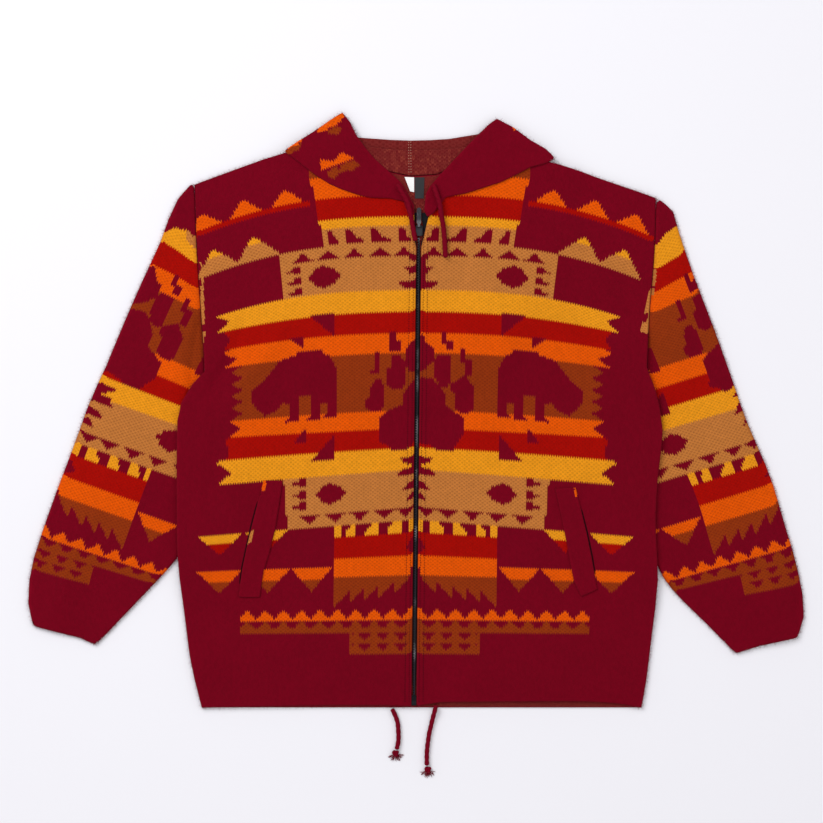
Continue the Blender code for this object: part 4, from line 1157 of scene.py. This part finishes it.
for number, (name, row) in enumerate(flaps.items()):
    outline = outlineOf(name)
    creases = ({"at": (row["origin"][0] * 0.75, 318), "long": 40, "wide": 9, "turn": row["turn"] * -1.6,
                "rise": -0.8},
               {"at": (row["origin"][0] * 1.25, 340), "long": 34, "wide": 10, "turn": row["turn"] * -2,
                "rise": 0.7})
    heights[name] = creased(heightField([name], soften=7.0), creases, 31 + number, 0.18)
    flap = clothPanel(name + "_cloth", outline, turnedPlace(row["origin"], row["turn"]),
                      ((-220, 220), (-220, 90)),
                      heights[name], garment["cloth"], patchChart(hoodPatches[name]),
                      [materials["wool"], materials["reverse"]], hidden="reverse", edge=roundEdge(1.6, 3))
    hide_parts(name)

insideOutline = outlineOf("hood_inside")
hoodInside = clothPanel("hood_inside_cloth", insideOutline, turnedPlace((-8.2, 294), 0),
                        ((-110, 110), (-20, 60)),
                    heightField(["hood_inside"], soften=6.0), garment["cloth"],
                    lambda c, r, x, y: np.full(c.shape, yarnNames.index("reverse")), [materials["reverse"]],
                    hidden="reverse")
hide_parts("hood_inside")

def rimChart(c, r, x, y):
    # the folded rim shows the inner side of the knit between the two flaps
    return np.where((np.abs(x) < 92) & (y > 318), yarnNames.index("reverse"), 0)


layersOutline = outlineOf("hood_back")
layersTop = heightField(["hood_back"], soften=6.0)
layers = clothPanel("hood_layers", layersOutline, turnedPlace((0, 340), 0), ((-190, 190), (-340, 40)),
                    layersTop,
                    lambda x, y: layersTop(x, y) - 0.25, rimChart, [materials["wool"]], inset=2.4,
                    edge=layeredEdge, stitch=(4.4, 2.25), zigzag=False)
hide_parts("hood_back")
print("hood knitted")


# pocket welts, with a dark ribbon of painted shade in the slit beside each

welts = {
    "pocket_welt_left": {"slit": ((-192, 286), (-207, 229), (-219, 175), (-224, 139)), "out": -1},
    "pocket_welt_right": {"slit": ((200, 277), (214, 219), (220, 190), (227, 149)), "out": 1},
}
weltPatches = {
    "pocket_welt_left": (("orange", ((-194, 287), (-189, 287), (-189, 276), (-193, 271))),
                         ("tan", ((-208, 222), (-204, 224), (-208, 208), (-212, 206)))),
    "pocket_welt_right": (("orange", ((198, 278), (203, 278), (203, 268), (200, 266))),),
}


def frontHeight(x, y):
    left, right = heights["front_left"](x, y), heights["front_right"](x, y)
    return np.where(x < zipAt(y - garment["hemY"]), left, right)


def ribbon(name, path, half, height, material, thick=0.5):
    # a flat band on the front, from points in plan, narrowing at its ends
    path = np.asarray(path, float)
    ahead = np.gradient(path, axis=0)
    side = np.stack([ahead[:, 1], -ahead[:, 0]], 1) / np.linalg.norm(ahead, axis=1)[:, None]
    share = np.linspace(-1, 1, len(path))
    wide = half * np.sqrt(np.clip(1 - share ** 6, 0.02, 1))[:, None]
    low, high = path - side * wide, path + side * wide
    points = []
    for row, drop in ((low, thick), (low, 0), (high, 0), (high, thick)):
        points.append(np.column_stack([row, height(row[:, 0], row[:, 1]) - drop]))
    count = len(path)
    faces = []
    for k in range(count - 1):
        for a in range(4):
            b = (a + 1) % 4
            faces.append([a * count + k, b * count + k, b * count + k + 1, a * count + k + 1])
    faces += [[a * count for a in (3, 2, 1, 0)], [a * count + count - 1 for a in range(4)]]
    points = np.concatenate(points)
    piece = makePiece(name, points, faces, points[:, :2] / 3, np.ones((len(faces), 4)), [material])
    return piece


for name, row in welts.items():
    outline = outlineOf(name)
    field = heightField([name], soften=5.0)

    def weltHeight(x, y, field=field):
        return field(x, y)

    slit = np.array(row["slit"], float) + [0, garment["hemY"]]
    lean = math.degrees(math.atan2(slit[0, 0] - slit[-1, 0], slit[0, 1] - slit[-1, 1]))
    welt = clothPanel(name + "_cloth", outline, turnedPlace(tuple(slit[-1]), -lean), ((-60, 60), (-40, 180)),
                      weltHeight, 2.0, patchChart(weltPatches[name]), [materials["wool"]], inset=1.0)
    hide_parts(name)
    spots = np.linspace(0, len(slit) - 1, 40)
    line = np.stack([np.interp(spots, range(len(slit)), slit[:, axis]) for axis in (0, 1)], 1)
    # a dark ribbon of painted shade lies in each pocket slit
    ribbon("pocket_slit" + name[11:], (line + [row["out"] * 0.9, 0])[6:34], 0.9,
           lambda x, y: frontHeight(x, y) + 0.25, materials["shade"])
print("pockets sewn")


# seams: small threads laid along lines on the cloth

def threads(name, lines, height, material, length=2.0, pitch=3.0, radius=0.35):
    points, faces = [], []
    for line in lines:
        line = np.asarray(line, float)
        runs = np.concatenate([[0], np.cumsum(np.linalg.norm(np.diff(line, axis=0), axis=1))])
        for start in np.arange(pitch / 2, runs[-1] - length, pitch):
            ends = [np.array([np.interp(start + s, runs, line[:, axis]) for axis in (0, 1)])
                    for s in (0, length)]
            along = (ends[1] - ends[0]) / np.linalg.norm(ends[1] - ends[0])
            side = np.array([along[1], -along[0]])
            base = len(points)
            for share, swell, lift in ((0, 0.3, -0.3), (0.3, 1, 0.22), (0.7, 1, 0.22), (1, 0.3, -0.3)):
                spot = ends[0] + (ends[1] - ends[0]) * share
                z = float(height(np.array([spot[0]]), np.array([spot[1]]))[0]) + lift
                for turn in range(5):
                    angle = 2 * math.pi * turn / 5
                    off = side * math.cos(angle) * radius * swell
                    points.append((*(spot + off), z + math.sin(angle) * radius * swell))
            for ring in range(3):
                for turn in range(5):
                    a, b = base + ring * 5 + turn, base + ring * 5 + (turn + 1) % 5
                    faces.append([a, b, b + 5, a + 5])
            faces += [[base + 4 - t for t in range(5)], [base + 15 + t for t in range(5)]]
    return plainPiece(name, points, faces, material)


def besideZip(offset, low, high):
    up = np.linspace(low, high, 60)
    return np.stack([zipAt(up) + offset, garment["hemY"] + up], 1)


topstitch = {"offsets": (6.2, 11.4), "low": 6.0, "high": 600.0}
lines = [besideZip(side * offset, topstitch["low"], topstitch["high"])
         for side in (-1, 1) for offset in topstitch["offsets"]]
zipSeams = threads("zip_topstitch", lines, frontHeight, materials["thread"], 2.2, 3.0, 0.4)

insideHeight = heightField(["hood_inside"], soften=6.0)
centreSeam = threads("hood_centre_seam", [[(-8.2 + side, 297), (-8.6 + side, 340)] for side in (-1.3, 1.3)],
                     lambda x, y: np.maximum(insideHeight(x, y), np.where(y > 318, layersTop(x, y), 0)),
                     materials["paleThread"], 1.3, 3.4, 0.45)
print("seams sewn")


# zip: teeth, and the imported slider, box, tapes and pull tab in their own finishes

zipTeeth = {"pitch": 3.2, "low": 17.0, "high": 591.0, "half": 1.7, "long": 0.62, "lock": {-1: 0.9, 1: 0.0}}
chainTop = heightField(["zip_chain"], soften=5.0)


def makeTeeth():
    points, faces = [], []
    for side in (-1, 1):
        start = zipTeeth["low"] + (zipTeeth["pitch"] / 2 if side > 0 else 0)
        for up in np.arange(start, zipTeeth["high"], zipTeeth["pitch"]):
            middle = zipAt(up)
            y = garment["hemY"] + up
            z = float(chainTop(np.array([middle]), np.array([y]))[0])
            outer, head = middle + side * zipTeeth["half"], middle - side * zipTeeth["lock"][side]
            base = len(points)
            for x, narrow, lift in ((outer, 0.7, -0.9), (middle + side * 0.8, 0.9, -0.2), (head, 0.9, -0.1)):
                for dy, dz in ((-1, -1.9), (1, -1.9), (1, -0.3), (0.6, 0), (-0.6, 0), (-1, -0.3)):
                    points.append((x, y + dy * zipTeeth["long"] * narrow, z + lift + dz))
            for ring in range(2):
                for k in range(6):
                    a, b = base + ring * 6 + k, base + ring * 6 + (k + 1) % 6
                    faces.append([a, a + 6, b + 6, b] if side > 0 else [a, b, b + 6, a + 6])
            caps = [[base + k for k in range(6)], [base + 17 - k for k in range(6)]]
            faces += caps if side > 0 else [cap[::-1] for cap in caps]
    return plainPiece("zip_teeth", points, faces, materials["teeth"])


bedUp = np.linspace(8.0, zipTeeth["high"] + 1, 200)
bed = np.column_stack([zipAt(bedUp), garment["hemY"] + bedUp])
ribbon("zip_bed", bed, 3.3, lambda x, y: chainTop(x, y) - 2.0, materials["tape"], 0.4)
teeth = makeTeeth()
teeth.data.polygons.foreach_set("use_smooth", np.zeros(len(teeth.data.polygons), bool))
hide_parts("zip_chain")
for name, finish in (("zip_tape_left", "tape"), ("zip_tape_right", "tape"), ("zip_box", "metal"),
                     ("zip_slider", "metal"), ("zip_pull", "pull"), ("neck_label", "label"),
                     ("size_tag", "tag")):
    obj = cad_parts[name]
    obj.data.materials.clear()
    obj.data.materials.append(materials[finish])
print("zip and labels finished")


# drawcords: two-ply twisted wool

cords = {    # path: x, height above the hem, and rise over what it lies on
    "hood_cord_left": {"width": 6.6, "end": "bare", "path": (
        (-24, 657, 3.2), (-19, 648, 3.3), (-11, 634, 3.4), (-7.5, 619, 3.8), (-4.6, 603, 3.5),
        (-1.6, 586, 3.2))},
    "hood_cord_right": {"width": 6.6, "end": "bare", "path": (
        (21, 657, 3.2), (25, 645, 3.3), (29, 632, 3.4), (31, 618, 3.8), (34, 600, 3.4), (36.5, 565, 3.2))},
    "hem_cord_left": {"width": 6.0, "end": "knot", "path": (
        (-30.8, -1.4, 0.7), (-27.2, -9, 0.3), (-23.8, -19, 0), (-22.8, -31, 0), (-22.8, -42, 0),
        (-25, -53, 0))},
    "hem_cord_right": {"width": 6.0, "end": "knot", "path": (
        (24.6, 3.6, 3.1), (23.2, -3, 2.9), (20.8, -12, 0.6), (18.2, -23, 0), (15.6, -35, 0), (13.2, -55, 0),
        (13, -73, 0))},
}
cordLook = {"overFlap": 2.9, "flapTip": 608.0, "flapRamp": 16.0, "restHeight": 3.0, "twist": 0.42, "ply": 2,
            "groove": 0.2, "sides": 20, "step": 0.7}
knots = {    # x, height above the hem, and half of each size
    "hem_knot_left": (-26.4, -57.3, 4.4, 4.2, 3.0),
    "hem_knot_right": (14.4, -77.8, 4.3, 4.4, 3.1),
}


def smoothCurve(knotPoints, step):
    p = np.asarray(knotPoints, float)
    p = np.concatenate([[2 * p[0] - p[1]], p, [2 * p[-1] - p[-2]]])
    curve = []
    for a, b, c, d in zip(p, p[1:], p[2:], p[3:]):
        parts = max(1, round(float(np.linalg.norm(c - b)) / step))
        t = (np.arange(parts) / parts)[:, None]
        square, cube = 2 * a - 5 * b + 4 * c - d, 3 * b - a - 3 * c + d
        curve.append(b + ((c - a) * t + square * t ** 2 + cube * t ** 3) / 2)
    return np.concatenate(curve + [p[-2:-1]])


def makeTube(name, path, radius, material, ply=2, twist=0.42, groove=0.2, sides=20, taper=0.6, closed=False):
    # a twisted tube along a path, its ends rounded off
    ahead = np.gradient(path, axis=0)
    if closed:
        ahead = np.roll(path, -1, axis=0) - np.roll(path, 1, axis=0)
    ahead /= np.linalg.norm(ahead, axis=1)[:, None]
    side = np.cross(ahead, [0.0, 0.0, 1.0])
    side /= np.maximum(np.linalg.norm(side, axis=1), 1e-6)[:, None]
    rise = np.cross(side, ahead)
    run = np.concatenate([[0], np.cumsum(np.linalg.norm(np.diff(path, axis=0), axis=1))])
    left = np.minimum(run, run[-1] - run)
    tip = 1 - np.clip(left / (radius * taper), 0, 1)
    swell = np.ones(len(path)) if closed else np.sqrt(np.clip(1 - tip ** 2, 0.04, 1))
    angle = np.linspace(0, 2 * math.pi, sides, endpoint=False)[None]
    lobe = 1 - groove * (1 - np.abs(np.cos((angle - twist * run[:, None]) * ply / 2)) ** 0.7)
    reach = radius * lobe * swell[:, None]
    points = path[:, None] + side[:, None] * (np.cos(angle) * reach)[..., None] + \
        rise[:, None] * (np.sin(angle) * reach)[..., None]
    points = points.reshape(-1, 3)
    count = len(path)
    faces = []
    for ring in range(count if closed else count - 1):
        after = (ring + 1) % count
        for k in range(sides):
            m = (k + 1) % sides
            faces.append([ring * sides + k, ring * sides + m, after * sides + m, after * sides + k])
    if not closed:
        faces += [[k for k in range(sides)][::-1], [(count - 1) * sides + k for k in range(sides)]]
    uvs = np.stack([np.tile(angle.ravel(), count), np.repeat(run, sides)], 1)
    return makePiece(name, points, faces, uvs, np.ones((len(faces), 4)), [material])


def joinPieces(name, pieces):
    mesh = bpy.data.meshes.new(name)
    points, faces, base = [], [], 0
    for piece in pieces:
        points += [tuple(v.co) for v in piece.data.vertices]
        faces += [[base + k for k in p.vertices] for p in piece.data.polygons]
        base = len(points)
        material = piece.data.materials[0]
        bpy.data.objects.remove(piece)
    mesh.from_pydata(points, [], faces)
    mesh.materials.append(material)
    mesh.polygons.foreach_set("use_smooth", np.ones(len(faces), bool))
    joined = bpy.data.objects.new(name, mesh)
    bpy.context.scene.collection.objects.link(joined)
    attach(joined, "jacket")
    return joined


def makeKnot(name, x, up, halfX, halfY, halfZ, seed):
    # an overhand knot drawn tight, with its ends frayed
    t = np.linspace(0, 2 * math.pi, 90, endpoint=False)
    curl = np.stack([np.sin(t) + 2 * np.sin(2 * t), np.cos(t) - 2 * np.cos(2 * t), -1.2 * np.sin(3 * t)], 1)
    curl = curl / np.abs(curl).max(0) * [halfX - 1.5, halfY - 1.5, halfZ - 1.6]
    middle = np.array([x, garment["hemY"] + up, halfZ + 0.3])
    parts = [makeTube(name + "_turns", curl + middle, 1.75, materials["cord"], groove=0.18, closed=True,
                      sides=12)]
    random = np.random.default_rng(seed)
    for _ in range(34):
        angle = random.uniform(-1.15, 1.15) - math.pi / 2
        length = random.uniform(4.0, 9.5)
        start = middle + [math.cos(angle) * halfX * 0.55, math.sin(angle) * halfY * 0.6,
                          random.uniform(-1.5, 0.8)]
        bend = random.uniform(-0.5, 0.5)
        share = np.linspace(0, 1, 7)
        strand = np.stack([start[0] + np.cos(angle + bend * share) * length * share,
                           start[1] + np.sin(angle + bend * share) * length * share,
                           np.maximum(start[2] * (1 - share) + random.uniform(0.4, 1.6) * share, 0.35)], 1)
        parts.append(makeTube(name + "_fray", strand, 0.34, materials["cord"], groove=0.0, sides=5, taper=4))
    return joinPieces(name + "_tied", parts)


for number, (name, row) in enumerate(knots.items()):
    makeKnot(name, *row, seed=41 + number)
    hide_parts(name)


def smoothstep(value):
    value = np.clip(value, 0, 1)
    return value * value * (3 - 2 * value)


frontRest = {name: heightField([name], soften=4.0) for name in fronts}
for name, row in cords.items():
    path = []
    for x, up, rise in row["path"]:
        if name.startswith("hood"):
            side = "front_" + ("left" if x < zipAt(up) else "right")
            base = float(frontRest[side](np.array([float(x)]), np.array([garment["hemY"] + up]))[0])
            onFlap = float(smoothstep((up - cordLook["flapTip"]) / cordLook["flapRamp"]))
            base += cordLook["overFlap"] * onFlap
        else:
            base = cordLook["restHeight"]
        path.append((x, garment["hemY"] + up, base + rise))
    curve = smoothCurve(path, cordLook["step"])
    cord = makeTube(name + "_twisted", curve, row["width"] / 2, materials["cord"], cordLook["ply"],
                    cordLook["twist"], cordLook["groove"], cordLook["sides"])
    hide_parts(name)
print("cords laid")

# loose hairs along the garment's edges

hair = {"every": 0.42, "long": (2.6, 7.5), "root": 0.13, "fan": 0.75, "under": 0.8, "zipClear": 24}


def makeHairs(name, sources, seed):
    random = np.random.default_rng(seed)
    points, faces = [], []
    for source, height in sources:
        outline = outlineOf(source)
        run = np.concatenate([[0], np.cumsum(np.linalg.norm(np.diff(outline, axis=0, append=outline[:1]),
                                                            axis=1))])
        spots = np.arange(0, run[-1], hair["every"])
        spots = spots + random.uniform(-0.25, 0.25, len(spots))
        closed = np.concatenate([outline, outline[:1]])
        at = np.stack([np.interp(spots, run, closed[:, axis]) for axis in (0, 1)], 1)
        ahead = np.stack([np.interp(spots + 2, run, closed[:, axis]) for axis in (0, 1)], 1) - at
        ahead /= np.maximum(np.linalg.norm(ahead, axis=1), 1e-6)[:, None]
        out = np.stack([ahead[:, 1], -ahead[:, 0]], 1)
        if toOutline(at[:1] + out[:1] * 2, outline)[0][0] < 0:
            out = -out
        for spot, outward, along in zip(at, out, ahead):
            if abs(spot[0]) < hair["zipClear"] and spot[1] > -370:
                continue
            turn = random.normal(0, hair["fan"])
            way = outward * math.cos(turn) + along * math.sin(turn)
            long = random.uniform(*hair["long"]) * random.uniform(0.5, 1)
            root = spot - outward * hair["under"]
            z = height * random.uniform(0.25, 0.8)
            tip = (*(root + way * long), max(0.3, z + random.uniform(-0.4, 0.5) * long))
            across = np.array([-way[1], way[0]]) * hair["root"]
            base = len(points)
            points += [(*(root - across), z), (*(root + across), z), tip]
            faces.append([base, base + 1, base + 2])
    hairs = plainPiece(name, points, faces, materials["cord"])


makeHairs("loose_hairs", (("front_left", 8.0), ("front_right", 8.0), ("sleeve_left", 6.0),
                          ("sleeve_right", 6.0),
                          ("hood_left", 12.0), ("hood_right", 12.0)), 29)
print("hairs loose")

makeCamera()
makeLights()
makeFloor()
